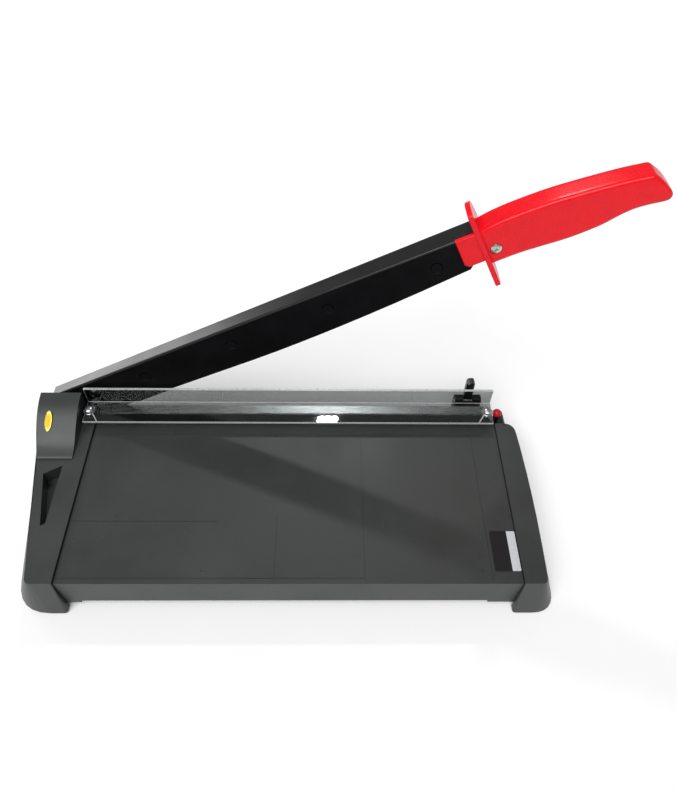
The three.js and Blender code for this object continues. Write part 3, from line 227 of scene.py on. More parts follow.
def glossy_abs(name, colour_hex):
    """Red ABS from a polished tool: a soft gloss with a slight orange peel and fine scuffs."""
    colour = linear(colour_hex)
    material, tree, shader = new_material(name, IOR=1.53, Specular_IOR_Level=0.22)
    place = add_node(tree, "ShaderNodeTexCoord").outputs["Object"]
    # Orange peel 6 mm wide and scuffs 0.6 mm wide.
    peel = add_node(tree, "ShaderNodeTexNoise", Vector=place, Scale=1 / (6 * MM), Detail=1.0)
    scuff = add_node(tree, "ShaderNodeTexNoise", Vector=place, Scale=1 / (0.6 * MM), Detail=3.0,
                     Distortion=0.6)
    tone = add_node(tree, "ShaderNodeValToRGB", Fac=peel.outputs["Fac"],
                    stops=[(0.2, shade(colour, 0.93)), (0.8, shade(colour, 1.05))]).outputs["Color"]
    feed(tree, shader, Base_Color=tone)
    rough = add_node(tree, "ShaderNodeMapRange", Value=scuff.outputs["Fac"], From_Min=0.35,
                     From_Max=0.75, To_Min=0.2, To_Max=0.33)
    feed(tree, shader, Roughness=rough.outputs["Result"])
    relief = add_node(tree, "ShaderNodeBump", Height=peel.outputs["Fac"], Strength=0.08, Distance=0.2 * MM)
    feed(tree, shader, Normal=relief.outputs["Normal"])
    return material


def baked_enamel(name, colour_hex):
    """Black baked enamel on folded steel sheet: semi-gloss, with a fine orange peel and haze."""
    colour = linear(colour_hex)
    material, tree, shader = new_material(name, IOR=1.5)
    place = add_node(tree, "ShaderNodeTexCoord").outputs["Object"]
    # Peel 1.2 mm wide; haze from handling 25 mm wide.
    peel = add_node(tree, "ShaderNodeTexNoise", Vector=place, Scale=1 / (1.2 * MM), Detail=2.0)
    haze = add_node(tree, "ShaderNodeTexNoise", Vector=place, Scale=1 / (25 * MM), Detail=4.0)
    tone = add_node(tree, "ShaderNodeValToRGB", Fac=haze.outputs["Fac"],
                    stops=[(0.3, shade(colour, 0.85)), (0.75, shade(colour, 1.3))]).outputs["Color"]
    feed(tree, shader, Base_Color=tone)
    rough = add_node(tree, "ShaderNodeMapRange", Value=haze.outputs["Fac"], From_Min=0.3,
                     From_Max=0.7, To_Min=0.28, To_Max=0.38)
    feed(tree, shader, Roughness=rough.outputs["Result"])
    relief = add_node(tree, "ShaderNodeBump", Height=peel.outputs["Fac"], Strength=0.12, Distance=0.04 * MM)
    feed(tree, shader, Normal=relief.outputs["Normal"])
    return material


def ground_blade(name, colour_hex):
    """Blackened ground tool steel: near-black oxide, clouded, with fine grinding lines along it."""
    colour = linear(colour_hex)
    material, tree, shader = new_material(name, Specular_IOR_Level=0.06)
    place = add_node(tree, "ShaderNodeTexCoord").outputs["Object"]
    # Grinding lines 0.3 mm apart, drawn out thirty times along the arm.
    turned = add_node(tree, "ShaderNodeMapping", Vector=place, Rotation=(0, RAISED, 0),
                      Scale=(1 / 30, 1, 1))
    lines = add_node(tree, "ShaderNodeTexNoise", Vector=turned.outputs["Vector"],
                     Scale=1 / (0.3 * MM), Detail=3.0)
    smear = add_node(tree, "ShaderNodeTexNoise", Vector=place, Scale=1 / (18 * MM), Detail=5.0)
    tone = add_node(tree, "ShaderNodeValToRGB", Fac=smear.outputs["Fac"],
                    stops=[(0.3, shade(colour, 0.7)), (0.8, shade(colour, 1.8))]).outputs["Color"]
    feed(tree, shader, Base_Color=tone)
    rough = add_node(tree, "ShaderNodeMapRange", Value=lines.outputs["Fac"], From_Min=0.3,
                     From_Max=0.7, To_Min=0.34, To_Max=0.52)
    feed(tree, shader, Roughness=rough.outputs["Result"])
    relief = add_node(tree, "ShaderNodeBump", Height=lines.outputs["Fac"], Strength=0.12, Distance=0.03 * MM)
    feed(tree, shader, Normal=relief.outputs["Normal"])
    return material


def brushed_steel(name, colour_hex):
    """Cold-rolled steel, ground in one direction: fine bright lines that stretch highlights."""
    colour = linear(colour_hex)
    material, tree, shader = new_material(name, Metallic=1.0)
    place = add_node(tree, "ShaderNodeTexCoord").outputs["Object"]
    # Lines 0.25 mm apart, forty times as long as they are wide.
    stretched = add_node(tree, "ShaderNodeMapping", Vector=place, Scale=(1 / 40, 1, 1))
    lines = add_node(tree, "ShaderNodeTexNoise", Vector=stretched.outputs["Vector"],
                     Scale=1 / (0.25 * MM), Detail=3.0)
    tone = add_node(tree, "ShaderNodeValToRGB", Fac=lines.outputs["Fac"],
                    stops=[(0.3, shade(colour, 0.82)), (0.7, shade(colour, 1.0))]).outputs["Color"]
    feed(tree, shader, Base_Color=tone)
    rough = add_node(tree, "ShaderNodeMapRange", Value=lines.outputs["Fac"], From_Min=0.3,
                     From_Max=0.7, To_Min=0.22, To_Max=0.38)
    feed(tree, shader, Roughness=rough.outputs["Result"])
    relief = add_node(tree, "ShaderNodeBump", Height=lines.outputs["Fac"], Strength=0.15, Distance=0.02 * MM)
    feed(tree, shader, Normal=relief.outputs["Normal"])
    return material


def plated_metal(name, colour_hex):
    """Zinc-plated or plain turned metal: bright, with small clouds where the plating varies."""
    colour = linear(colour_hex)
    material, tree, shader = new_material(name, Metallic=1.0)
    place = add_node(tree, "ShaderNodeTexCoord").outputs["Object"]
    # Clouds 2.5 mm wide.
    cloud = add_node(tree, "ShaderNodeTexNoise", Vector=place, Scale=1 / (2.5 * MM), Detail=4.0)
    tone = add_node(tree, "ShaderNodeValToRGB", Fac=cloud.outputs["Fac"],
                    stops=[(0.3, shade(colour, 0.75)), (0.7, shade(colour, 1.0))]).outputs["Color"]
    feed(tree, shader, Base_Color=tone)
    rough = add_node(tree, "ShaderNodeMapRange", Value=cloud.outputs["Fac"], From_Min=0.3,
                     From_Max=0.7, To_Min=0.2, To_Max=0.38)
    feed(tree, shader, Roughness=rough.outputs["Result"])
    relief = add_node(tree, "ShaderNodeBump", Height=cloud.outputs["Fac"], Strength=0.1, Distance=0.03 * MM)
    feed(tree, shader, Normal=relief.outputs["Normal"])
    return material


def moulded_rubber(name):
    """Black rubber pad, moulded: dull, with a fine pitted skin."""
    material, tree, shader = new_material(name, IOR=1.52)
    place = add_node(tree, "ShaderNodeTexCoord").outputs["Object"]
    pits = add_node(tree, "ShaderNodeTexNoise", Vector=place, Scale=1 / (0.4 * MM), Detail=3.0)
    tone = add_node(tree, "ShaderNodeValToRGB", Fac=pits.outputs["Fac"],
                    stops=[(0.3, linear("#121212")), (0.8, linear("#2a2a29"))]).outputs["Color"]
    feed(tree, shader, Base_Color=tone)
    rough = add_node(tree, "ShaderNodeMapRange", Value=pits.outputs["Fac"], To_Min=0.75, To_Max=0.95)
    feed(tree, shader, Roughness=rough.outputs["Result"])
    relief = add_node(tree, "ShaderNodeBump", Height=pits.outputs["Fac"], Strength=0.4, Distance=0.08 * MM)
    feed(tree, shader, Normal=relief.outputs["Normal"])
    return material


def cast_acrylic(name):
    """Clear cast acrylic sheet, bent and polished: sharp reflections, a faint smoky tint, fine
    wiping scratches and a few specks stuck to it."""
    material, tree, shader = new_material(name, IOR=1.49, Transmission_Weight=1.0)
    place = add_node(tree, "ShaderNodeTexCoord").outputs["Object"]
    # Wiping scratches 0.5 mm apart along the strip.
    stretched = add_node(tree, "ShaderNodeMapping", Vector=place, Scale=(1 / 25, 1, 1))
    wipes = add_node(tree, "ShaderNodeTexNoise", Vector=stretched.outputs["Vector"],
                     Scale=1 / (0.5 * MM), Detail=2.0)
    rough = add_node(tree, "ShaderNodeMapRange", Value=wipes.outputs["Fac"], From_Min=0.5,
                     From_Max=0.8, To_Min=0.02, To_Max=0.06)
    feed(tree, shader, Roughness=rough.outputs["Result"])
    # Specks up to 0.3 mm across, 5 mm apart.
    dust = add_node(tree, "ShaderNodeTexVoronoi", Vector=place, Scale=1 / (5 * MM))
    speck = add_node(tree, "ShaderNodeValToRGB", Fac=dust.outputs["Distance"],
                    stops=[(0.015, linear("#e9ecec")), (0.03, linear("#989c9a"))]).outputs["Color"]
    feed(tree, shader, Base_Color=speck)
    return material


def edge_painted_highlight(name):
    """The sawn and flame-polished edge of acrylic sheet, which gathers light and looks milky: its pale colour is a
    painted highlight for that light.
    """
    material, tree, shader = new_material(name, IOR=1.49, Transmission_Weight=0.55)
    place = add_node(tree, "ShaderNodeTexCoord").outputs["Object"]
    # Saw marks 0.8 mm apart, nearly melted away.
    marks = add_node(tree, "ShaderNodeTexNoise", Vector=place, Scale=1 / (0.8 * MM), Detail=2.0)
    # The pale tones are a painted highlight along the edge, not the edge's own colour.
    tone = add_node(tree, "ShaderNodeValToRGB", Fac=marks.outputs["Fac"],
                    stops=[(0.3, linear("#c9cfd0")), (0.7, linear("#f1f4f4"))]).outputs["Color"]
    feed(tree, shader, Base_Color=tone)
    rough = add_node(tree, "ShaderNodeMapRange", Value=marks.outputs["Fac"], To_Min=0.2, To_Max=0.4)
    feed(tree, shader, Roughness=rough.outputs["Result"])
    return material


def foil_badge(name, colour_hex, rim_hex, centre, tilt, half):
    """Stamped aluminium foil, gold lacquered: satin field inside a brighter rolled rim."""
    material, tree, shader = new_material(name, Metallic=0.75)
    place = add_node(tree, "ShaderNodeTexCoord").outputs["Object"]
    inner = Matrix.Rotation(-tilt, 3, "X") @ -centre
    local = add_node(tree, "ShaderNodeMapping", Vector=place, Rotation=(-tilt, 0, 0), Location=inner)
    oval = add_node(tree, "ShaderNodeMapping", Vector=local.outputs["Vector"],
                    Scale=(1 / half[0], 1 / half[1], 0))
    reach = add_node(tree, "ShaderNodeVectorMath", {"operation": "LENGTH"}, i0=oval.outputs["Vector"])
    # Stamped grain 0.4 mm wide.
    grain = add_node(tree, "ShaderNodeTexNoise", Vector=place, Scale=1 / (0.4 * MM), Detail=2.0)
    field, rim = linear(colour_hex), linear(rim_hex)
    tone = add_node(tree, "ShaderNodeValToRGB", Fac=reach.outputs["Value"],
                    stops=[(0.0, shade(field, 0.8)), (0.7, field), (0.78, rim)]).outputs["Color"]
    feed(tree, shader, Base_Color=tone)
    rough = add_node(tree, "ShaderNodeMapRange", Value=grain.outputs["Fac"], To_Min=0.3, To_Max=0.5)
    feed(tree, shader, Roughness=rough.outputs["Result"])
    relief = add_node(tree, "ShaderNodeBump", Height=grain.outputs["Fac"], Strength=0.2, Distance=0.03 * MM)
    feed(tree, shader, Normal=relief.outputs["Normal"])
    return material


def sticker_film(name, split_x):
    """Vinyl film, screen printed in two plain fields, black and white, with a satin laminate."""
    material, tree, shader = new_material(name, IOR=1.5)
    place = add_node(tree, "ShaderNodeTexCoord").outputs["Object"]
    axes = add_node(tree, "ShaderNodeSeparateXYZ", Vector=place)
    side = add_node(tree, "ShaderNodeMath", {"operation": "GREATER_THAN"}, i0=axes.outputs["X"],
                    i1=split_x)
    # Laminate ripples 1.5 mm wide.
    ripple = add_node(tree, "ShaderNodeTexNoise", Vector=place, Scale=1 / (1.5 * MM), Detail=2.0)
    dark = add_node(tree, "ShaderNodeValToRGB", Fac=ripple.outputs["Fac"],
                    stops=[(0.2, linear("#08080b")), (0.8, linear("#131317"))]).outputs["Color"]
    pale = add_node(tree, "ShaderNodeValToRGB", Fac=ripple.outputs["Fac"],
                    stops=[(0.2, linear("#b9bbbf")), (0.8, linear("#c9cbcf"))]).outputs["Color"]
    both = add_node(tree, "ShaderNodeMix", {"data_type": "RGBA"}, i0=side.outputs[0], i6=dark, i7=pale)
    feed(tree, shader, Base_Color=both.outputs[2])
    rough = add_node(tree, "ShaderNodeMapRange", Value=ripple.outputs["Fac"], To_Min=0.3, To_Max=0.5)
    feed(tree, shader, Roughness=rough.outputs["Result"])
    return material


def painted_floor(name, colour_hex):
    """Pale studio floor: matt paint with a barely visible roller texture."""
    colour = linear(colour_hex)
    material, tree, shader = new_material(name, Roughness=0.9)
    place = add_node(tree, "ShaderNodeTexCoord").outputs["Object"]
    roller = add_node(tree, "ShaderNodeTexNoise", Vector=place, Scale=1 / (60 * MM), Detail=3.0)
    tone = add_node(tree, "ShaderNodeValToRGB", Fac=roller.outputs["Fac"],
                    stops=[(0.3, shade(colour, 0.985)), (0.7, colour)]).outputs["Color"]
    feed(tree, shader, Base_Color=tone)
    return material


MATERIALS = {}


def finish_of(slot):
    """The material for one of the record's slots, made when it is first asked for."""
    colours = bpy.context.scene.cutter_colours
    makers = {
        "charcoal_abs": lambda: moulded_abs("charcoal_moulded_abs", colours.table_hex, (0.4, 0.52)),
        "black_nylon": lambda: moulded_abs("black_moulded_nylon", colours.nylon_hex, (0.35, 0.45)),
        "red_abs": lambda: glossy_abs("red_polished_abs", colours.handle_hex),
        "black_enamel": lambda: baked_enamel("black_baked_enamel", colours.enamel_hex),
        "blackened_steel": lambda: ground_blade("blackened_ground_steel", colours.blade_hex),
        "bright_steel": lambda: brushed_steel("ground_cold_rolled_steel", "#c9cbcd"),
        "zinc_plated_steel": lambda: plated_metal("zinc_plated_steel", "#cfccbf"),
        "brass": lambda: plated_metal("turned_brass", "#c9a24a"),
        "rubber": lambda: moulded_rubber("black_moulded_rubber"),
        "clear_acrylic": lambda: cast_acrylic("clear_cast_acrylic"),
    }
    if slot not in MATERIALS:
        MATERIALS[slot] = makers[slot]()
    return MATERIALS[slot]


# Meshes --------------------------------------------------------------------------------------
def slot_of(node):
    return next(row["material_slot"] for row in frame["record"]["subparts"] if row["node"] == node)


def only(obj):
    """Makes obj the only selected object and the active one."""
    bpy.ops.object.select_all(action="DESELECT")
    obj.select_set(True)
    bpy.context.view_layer.objects.active = obj
    return obj


def dress(obj, material):
    obj.data.materials.clear()
    obj.data.materials.append(material)


def settle(obj):
    """Puts obj at the origin, unturned, with its place in its mesh."""
    only(obj)
    bpy.ops.object.transform_apply(location=True, rotation=True, scale=True)


def hand_over(obj, body, slot, *nodes):
    """A finished piece rides on its body, takes its slot's finish and stands for its nodes."""
    settle(obj)
    if not obj.data.materials:
        dress(obj, finish_of(slot))
    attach(obj, body)
    if nodes:
        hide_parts(*nodes)


def clean_copy(node, name):
    """A new object with a node's shape as merged, flat faces."""
    obj = bpy.data.objects.new(name, frame["nodes"][node].data.copy())
    bpy.context.scene.collection.objects.link(obj)
    obj.data.materials.clear()
    only(obj)
    bpy.ops.object.mode_set(mode="EDIT")
    bpy.ops.mesh.select_all(action="SELECT")
    bpy.ops.mesh.remove_doubles(threshold=0.03 * MM)
    bpy.ops.mesh.dissolve_limited(angle_limit=math.radians(0.6))
    bpy.ops.mesh.select_all(action="DESELECT")
    bpy.ops.object.mode_set(mode="OBJECT")
    return obj


def pick_edges(obj, wanted):
    """In edit mode, selects the edges for which wanted(edge, angle between its faces) is true."""
    mesh = bmesh.from_edit_mesh(obj.data)
    count = 0
    for edge in mesh.edges:
        angle = edge.calc_face_angle(0.0) if len(edge.link_faces) == 2 else 0.0
        edge.select_set(wanted(edge, angle))
        count += edge.select
    mesh.select_flush_mode()
    bmesh.update_edit_mesh(obj.data)
    return count


def round_edges(obj, radius, segments, wanted):
    """Rounds the chosen edges."""
    only(obj)
    bpy.ops.object.mode_set(mode="EDIT")
    bpy.ops.mesh.select_mode(type="EDGE")
    if pick_edges(obj, wanted):
        bpy.ops.mesh.bevel(offset=radius, segments=segments, profile=0.5, clamp_overlap=True)
    bpy.ops.mesh.select_all(action="DESELECT")
    bpy.ops.object.mode_set(mode="OBJECT")


def smooth(obj, degrees=32):
    only(obj)
    bpy.ops.object.shade_smooth_by_angle(angle=math.radians(degrees))
    modify(obj, "WEIGHTED_NORMAL", keep_sharp=True)


def middle_of(edge):
    return (edge.verts[0].co + edge.verts[1].co) / 2


def on_arm(s, t, y):
    """A point on the raised arm, from millimetres along it, below its fold and behind the cut."""
    along = Vector((math.cos(RAISED), 0, math.sin(RAISED)))
    up = Vector((-math.sin(RAISED), 0, math.cos(RAISED)))
    point = PIVOT + along * (s + 26) * MM + up * (28.2 - t) * MM
    return Vector((point.x, CUT_LINE + y * MM, point.z))


def arm_coordinates(point):
    """The s and t of a point, in millimetres."""
    offset = point - PIVOT
    s = offset.x * math.cos(RAISED) + offset.z * math.sin(RAISED)
    up = -offset.x * math.sin(RAISED) + offset.z * math.cos(RAISED)
    return s / MM - 26, 28.2 - up / MM


def flat_piece(name, points):
    """A filled polygon with its corners at the given points, as the start of an extrusion."""
    bpy.ops.object.select_all(action="DESELECT")
    bpy.ops.mesh.primitive_circle_add(vertices=len(points), radius=0.01, fill_type="NGON")
    obj = bpy.context.object
    obj.name = obj.data.name = name
    for vertex, point in zip(obj.data.vertices, points):
        vertex.co = point
    return obj


def extrude(obj, vector):
    """Extrudes a flat piece into a solid."""
    only(obj)
    bpy.ops.object.mode_set(mode="EDIT")
    bpy.ops.mesh.select_all(action="SELECT")
    bpy.ops.mesh.extrude_region_move(TRANSFORM_OT_translate={"value": vector})
    bpy.ops.mesh.select_all(action="SELECT")
    bpy.ops.mesh.normals_make_consistent(inside=False)
    bpy.ops.object.mode_set(mode="OBJECT")


def modify(obj, kind, **settings):
    """Adds a modifier and applies it."""
    only(obj)
    modifier = obj.modifiers.new(kind.lower(), kind)
    for name, value in settings.items():
        setattr(modifier, name, value)
    bpy.ops.object.modifier_apply(modifier=modifier.name)


def spun(name, profile, base, axis, steps=48):
    """A turned piece: (radius, height) pairs in millimetres, spun about an axis through base."""
    bpy.ops.object.select_all(action="DESELECT")
    bpy.ops.mesh.primitive_circle_add(vertices=len(profile), radius=0.01, fill_type="NOTHING")
    obj = bpy.context.object
    obj.name = obj.data.name = name
    for vertex, (radius, height) in zip(obj.data.vertices, profile):
        vertex.co = Vector((radius * MM, 0, height * MM))
    bpy.ops.object.mode_set(mode="EDIT")
    bpy.ops.mesh.select_mode(type="EDGE")
    # The circle's closing edge lies on the axis and isn't spun.
    pick_edges(obj, lambda edge, angle: all(v.co.x < 1e-7 for v in edge.verts))
    bpy.ops.mesh.delete(type="EDGE")
    bpy.ops.mesh.select_all(action="SELECT")
    bpy.ops.mesh.spin(steps=steps, angle=2 * math.pi, center=(0, 0, 0), axis=(0, 0, 1))
    bpy.ops.mesh.select_all(action="SELECT")
    bpy.ops.mesh.remove_doubles(threshold=1e-6)
    bpy.ops.mesh.normals_make_consistent(inside=False)
    bpy.ops.object.mode_set(mode="OBJECT")
    turn = Vector((0, 0, 1)).rotation_difference(Vector(axis)).to_matrix().to_4x4()
    obj.data.transform(Matrix.Translation(base) @ turn)
    return obj


def copied(obj, name, shift):
    """A copy of a finished piece, with its own mesh, moved by shift."""
    twin = bpy.data.objects.new(name, obj.data.copy())
    twin.data.name = name
    twin.data.transform(Matrix.Translation(shift))
    bpy.context.scene.collection.objects.link(twin)
    return twin


def foot_of(node):
    """The middle of a node's underside."""
    low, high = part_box(node)
    return Vector(((low.x + high.x) / 2, (low.y + high.y) / 2, low.z))


def spline_points(points, steps):
    """Points along a smooth curve through the given (s, t) pairs."""
    out = []
    for i in range(len(points) - 1):
        p0, p1 = points[max(i - 1, 0)], points[i]
        p2, p3 = points[i + 1], points[min(i + 2, len(points) - 1)]
        for k in range(steps):
            u = k / steps
            out.append(tuple(
                0.5 * (2 * b + (c - a) * u + (2 * a - 5 * b + 4 * c - d) * u * u
                       + (3 * b - a - 3 * c + d) * u ** 3)
                for a, b, c, d in zip(p0, p1, p2, p3)))
    return out + [points[-1]]


# Operators -----------------------------------------------------------------------------------
class CUTTER_OT_table(bpy.types.Operator):
    """Table: the moulded deck with rounded crests and its small moulded corner marks"""

    bl_idname = "cutter.table"
    bl_label = "Table"

    # Corner marks of the smaller sheets, in millimetres from the fence and the cutting line.
    marks = (
        (139.9, -89.3), (202.0, -132.6), (289.6, -132.9), (97.6, -142.8), (31.8, -101.7), (290.3, -142.9))

    def execute(self, context):
        sizes = context.scene.cutter_sizes
        deck = clean_copy("deck", "table_moulding")
        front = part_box("deck")[0].y

        def crest(edge, angle):
            middle = middle_of(edge)
            high = middle.z > TABLE_TOP - 0.2 * MM and middle.y < front + 4 * MM
            low = middle.y < front + 4 * MM and middle.z < TABLE_TOP - 20 * MM
            return angle > 0.6 and (high or low) and edge.calc_length() > 2 * MM

        round_edges(deck, sizes.table_edge, 3, crest)
        for x, y in self.marks:
            for across, length in ((0.5, 4.5), (4.5, 0.5)):
                bpy.ops.object.select_all(action="DESELECT")
                bpy.ops.mesh.primitive_cube_add(size=1)
                tick = bpy.context.object
                tick.scale = (across * MM, length * MM, 0.3 * MM)
                tick.location = (
                    FENCE + (x + across / 2) * MM, CUT_LINE + (y + length / 2) * MM, TABLE_TOP - 0.05 * MM)
                settle(tick)
                tick.select_set(True)
                deck.select_set(True)
                bpy.context.view_layer.objects.active = deck
                bpy.ops.object.join()
        smooth(deck)
        hand_over(deck, "base", "charcoal_abs", "deck")
        return {"FINISHED"}


class CUTTER_OT_casings(bpy.types.Operator):
    """Casings: both end casings with their upper edges rounded"""

    bl_idname = "cutter.casings"
    bl_label = "Casings"

    def execute(self, context):
        sizes = context.scene.cutter_sizes
        top = TABLE_TOP + 2.5 * MM

        def rim(edge, angle):
            level = all(abs(v.co.z - top) < 0.05 * MM for v in edge.verts)
            return angle > 0.6 and level and edge.calc_length() > 0.3 * MM

        for node in ("left_casing", "right_casing"):
            casing = clean_copy(node, node.replace("casing", "end_moulding"))
            round_edges(casing, sizes.rail_edge, 3, rim)
            smooth(casing)
            hand_over(casing, "base", "charcoal_abs", node)
        return {"FINISHED"}


class CUTTER_OT_cover(bpy.types.Operator):
    """Pivot cover: the hood over the pivot, with soft edges, and its blank badge"""

    bl_idname = "cutter.cover"
    bl_label = "Pivot cover and badge"

    def execute(self, context):
        sizes = context.scene.cutter_sizes
        colours = context.scene.cutter_colours
        cover = clean_copy("pivot_cover", "pivot_hood")
        low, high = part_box("pivot_cover")

        def ridge(edge, angle):
            middle = middle_of(edge)
            outer = middle.x > high.x - 0.1 * MM or middle.x < low.x + 14 * MM
            return angle > 0.5 and outer and middle.z > low.z + 0.4 * MM and edge.calc_length() > 1 * MM

        round_edges(cover, sizes.cover_edge, 4, ridge)
        smooth(cover, 40)
        hand_over(cover, "base", "charcoal_abs", "pivot_cover")

        low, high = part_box("badge_plate")
        centre = (low + high) / 2
        half = (0.95 * (high.x - low.x) / 2, 8.2 * MM)
        tilt = math.atan2(high.z - low.z, high.y - low.y)
        bpy.ops.object.select_all(action="DESELECT")
        bpy.ops.mesh.primitive_circle_add(vertices=64, radius=1, fill_type="NGON")
        badge = bpy.context.object
        badge.name = badge.data.name = "badge_oval"
        badge.data.transform(Matrix.Diagonal((*half, 1, 1)))
        extrude(badge, (0, 0, 0.5 * MM))
        only(badge)
        bpy.ops.object.mode_set(mode="EDIT")
        bpy.ops.mesh.select_mode(type="FACE")
        mesh = bmesh.from_edit_mesh(badge.data)
        for face in mesh.faces:
            face.select_set(face.normal.z > 0.9)
        bmesh.update_edit_mesh(badge.data)
        bpy.ops.mesh.inset(thickness=0.25 * MM, depth=0.2 * MM)
        bpy.ops.mesh.inset(thickness=0.35 * MM, depth=0.0)
        bpy.ops.mesh.inset(thickness=0.2 * MM, depth=-0.25 * MM)
        bpy.ops.object.mode_set(mode="OBJECT")
        badge.data.transform(Matrix.Translation(centre) @ Matrix.Rotation(tilt, 4, "X")
                             @ Matrix.Translation((0, 0, -0.35 * MM)))
        smooth(badge, 40)
        dress(badge, foil_badge("gold_stamped_foil", colours.badge_hex, "#cfc06a", centre, tilt, half))
        hand_over(badge, "base", "gold_foil_plate", "badge_plate")
        return {"FINISHED"}


class CUTTER_OT_label(bpy.types.Operator):
    """Label: the blank two-tone sticker with rounded corners"""

    bl_idname = "cutter.label"
    bl_label = "Label"

    def execute(self, context):
        low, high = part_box("label_plate")
        bpy.ops.object.select_all(action="DESELECT")
        bpy.ops.mesh.primitive_cube_add(size=1, location=(low + high) / 2)
        label = bpy.context.object
        label.name = label.data.name = "label_sticker"
        label.scale = high - low
        settle(label)
        round_edges(label, 0.8 * MM, 4,
                    lambda e, a: abs(e.verts[0].co.z - e.verts[1].co.z) > 0.1 * MM)
        round_edges(label, 0.08 * MM, 1,
                    lambda e, a: a > 1 and all(v.co.z > high.z - 0.01 * MM for v in e.verts))
        smooth(label)
        dress(label, sticker_film("printed_vinyl_film", low.x + 12 * MM))
        hand_over(label, "base", "label_film", "label_plate")
        return {"FINISHED"}


class CUTTER_OT_arm(bpy.types.Operator):
    """Arm: the folded channel with its bend radius, and the blade"""

    bl_idname = "cutter.arm"
    bl_label = "Arm"

    def execute(self, context):
        sizes = context.scene.cutter_sizes
        channel = clean_copy("arm_channel", "arm_sheet")

        def fold(edge, angle):
            depth = arm_coordinates(middle_of(edge))[1]
            return angle > 0.8 and edge.calc_length() > 200 * MM and depth < 0.2

        round_edges(channel, sizes.fold_radius, 5, fold)
        smooth(channel)
        hand_over(channel, "arm", "black_enamel", "arm_channel")

        blade = clean_copy("moving_blade", "blade_strip")
        smooth(blade, 20)
        hand_over(blade, "arm", "blackened_steel", "moving_blade")
        return {"FINISHED"}


class CUTTER_OT_handle(bpy.types.Operator):
    """Handle: grip, hand-guard disc and collar in one moulding, hollow for the arm's end"""

    bl_idname = "cutter.handle"
    bl_label = "Handle"

    # The grip's outline as (s, t) pairs.
    top = [(322.5, -1.5), (331, -3.0), (345, -3.8), (367, -3.2), (382, -1.6), (394, 0.0), (410, 2.5),
           (424.8, 5.7)]
    end = [(425.8, 7.0), (428.2, 11.0), (430.4, 15.5), (432.6, 21.8)]
    heel = [(433.0, 24.2), (430.9, 27.0), (426.5, 26.9)]
    belly = [(420.5, 25.6), (412, 24.5), (402.5, 25.3), (390, 27.7), (371.5, 28.3), (355, 27.0),
             (340, 26.0), (322.5, 26.4)]

    def execute(self, context):
        sizes = context.scene.cutter_sizes
        outline = (spline_points(self.top, 3) + spline_points(self.end, 2)
                   + spline_points(self.heel, 2) + spline_points(self.belly, 3))
        grip = flat_piece("handle_moulding", [on_arm(s, t, -2.6) for s, t in outline])
        extrude(grip, (0, 17.0 * MM, 0))
        round_edges(grip, sizes.grip_edge, 5, lambda e, a: abs(e.verts[0].co.y - e.verts[1].co.y) < 1e-6)

        centre = on_arm(*GUARD_DISC, 6)
        bpy.ops.object.select_all(action="DESELECT")
        bpy.ops.mesh.primitive_cylinder_add(vertices=96, radius=1, depth=1)
        disc = bpy.context.object
        disc.data.transform(
            Matrix.Translation(centre) @ Matrix.Rotation(-RAISED, 4, "Y")
            @ Matrix.Rotation(math.pi / 2, 4, "Y") @ Matrix.Diagonal((32.6 * MM, 21 * MM, 3.4 * MM, 1)))
        only(disc)
        bpy.ops.object.mode_set(mode="EDIT")
        bpy.ops.mesh.select_all(action="SELECT")
        # The oval ends flush with the grip's front face.
        bpy.ops.mesh.bisect(plane_co=(0, GRIP_FRONT + 0.2 * MM, 0), plane_no=(0, -1, 0), use_fill=True,
                            clear_outer=True)
        bpy.ops.object.mode_set(mode="OBJECT")
        round_edges(disc, 0.9 * MM, 3, lambda e, a: a > 0.8)

        collar = flat_piece("collar", [on_arm(s, t, -1.7) for s, t in [
            (307.6, -0.7), (307.1, 19.3), (309.3, 22.4), (327, 22.0), (327, -0.7)]])
        extrude(collar, (0, 3.0 * MM, 0))
        round_edges(collar, 0.7 * MM, 3, lambda e, a: a > 0.8)

        modify(grip, "REMESH", mode="VOXEL", voxel_size=sizes.grip_voxel)
        modify(grip, "SMOOTH", factor=0.5, iterations=20)
        for part in (disc, collar):
            modify(grip, "BOOLEAN", operation="UNION", object=part, solver="EXACT")
            bpy.data.objects.remove(part)

        seat = flat_piece("seat", [on_arm(s, t, -0.15) for s, t in [
            (299, -0.3), (299, 24.3), (350.3, 24.3), (350.3, -0.3)]])
        extrude(seat, (0, 10.6 * MM, 0))
        screw = on_arm(*HANDLE_SCREW, 0)
        rearwards = (0, 1, 0)
        bore = spun("bore", [(0, -6), (2.3, -6), (2.3, 20), (0, 20)], screw, rearwards, 32)
        sink = spun("sink", [(0, -8), (4.1, -8), (4.1, -1.4), (0, -1.4)], screw, rearwards, 48)
        pocket = spun("pocket", [(0, 11.8), (4.7, 11.8), (4.7, 20), (0, 20)], screw, rearwards, 6)
        for tool in (seat, bore, sink, pocket):
            modify(grip, "BOOLEAN", operation="DIFFERENCE", object=tool, solver="EXACT")
            bpy.data.objects.remove(tool)
        smooth(grip, 45)
        hand_over(grip, "arm", "red_abs", "handle")
        return {"FINISHED"}


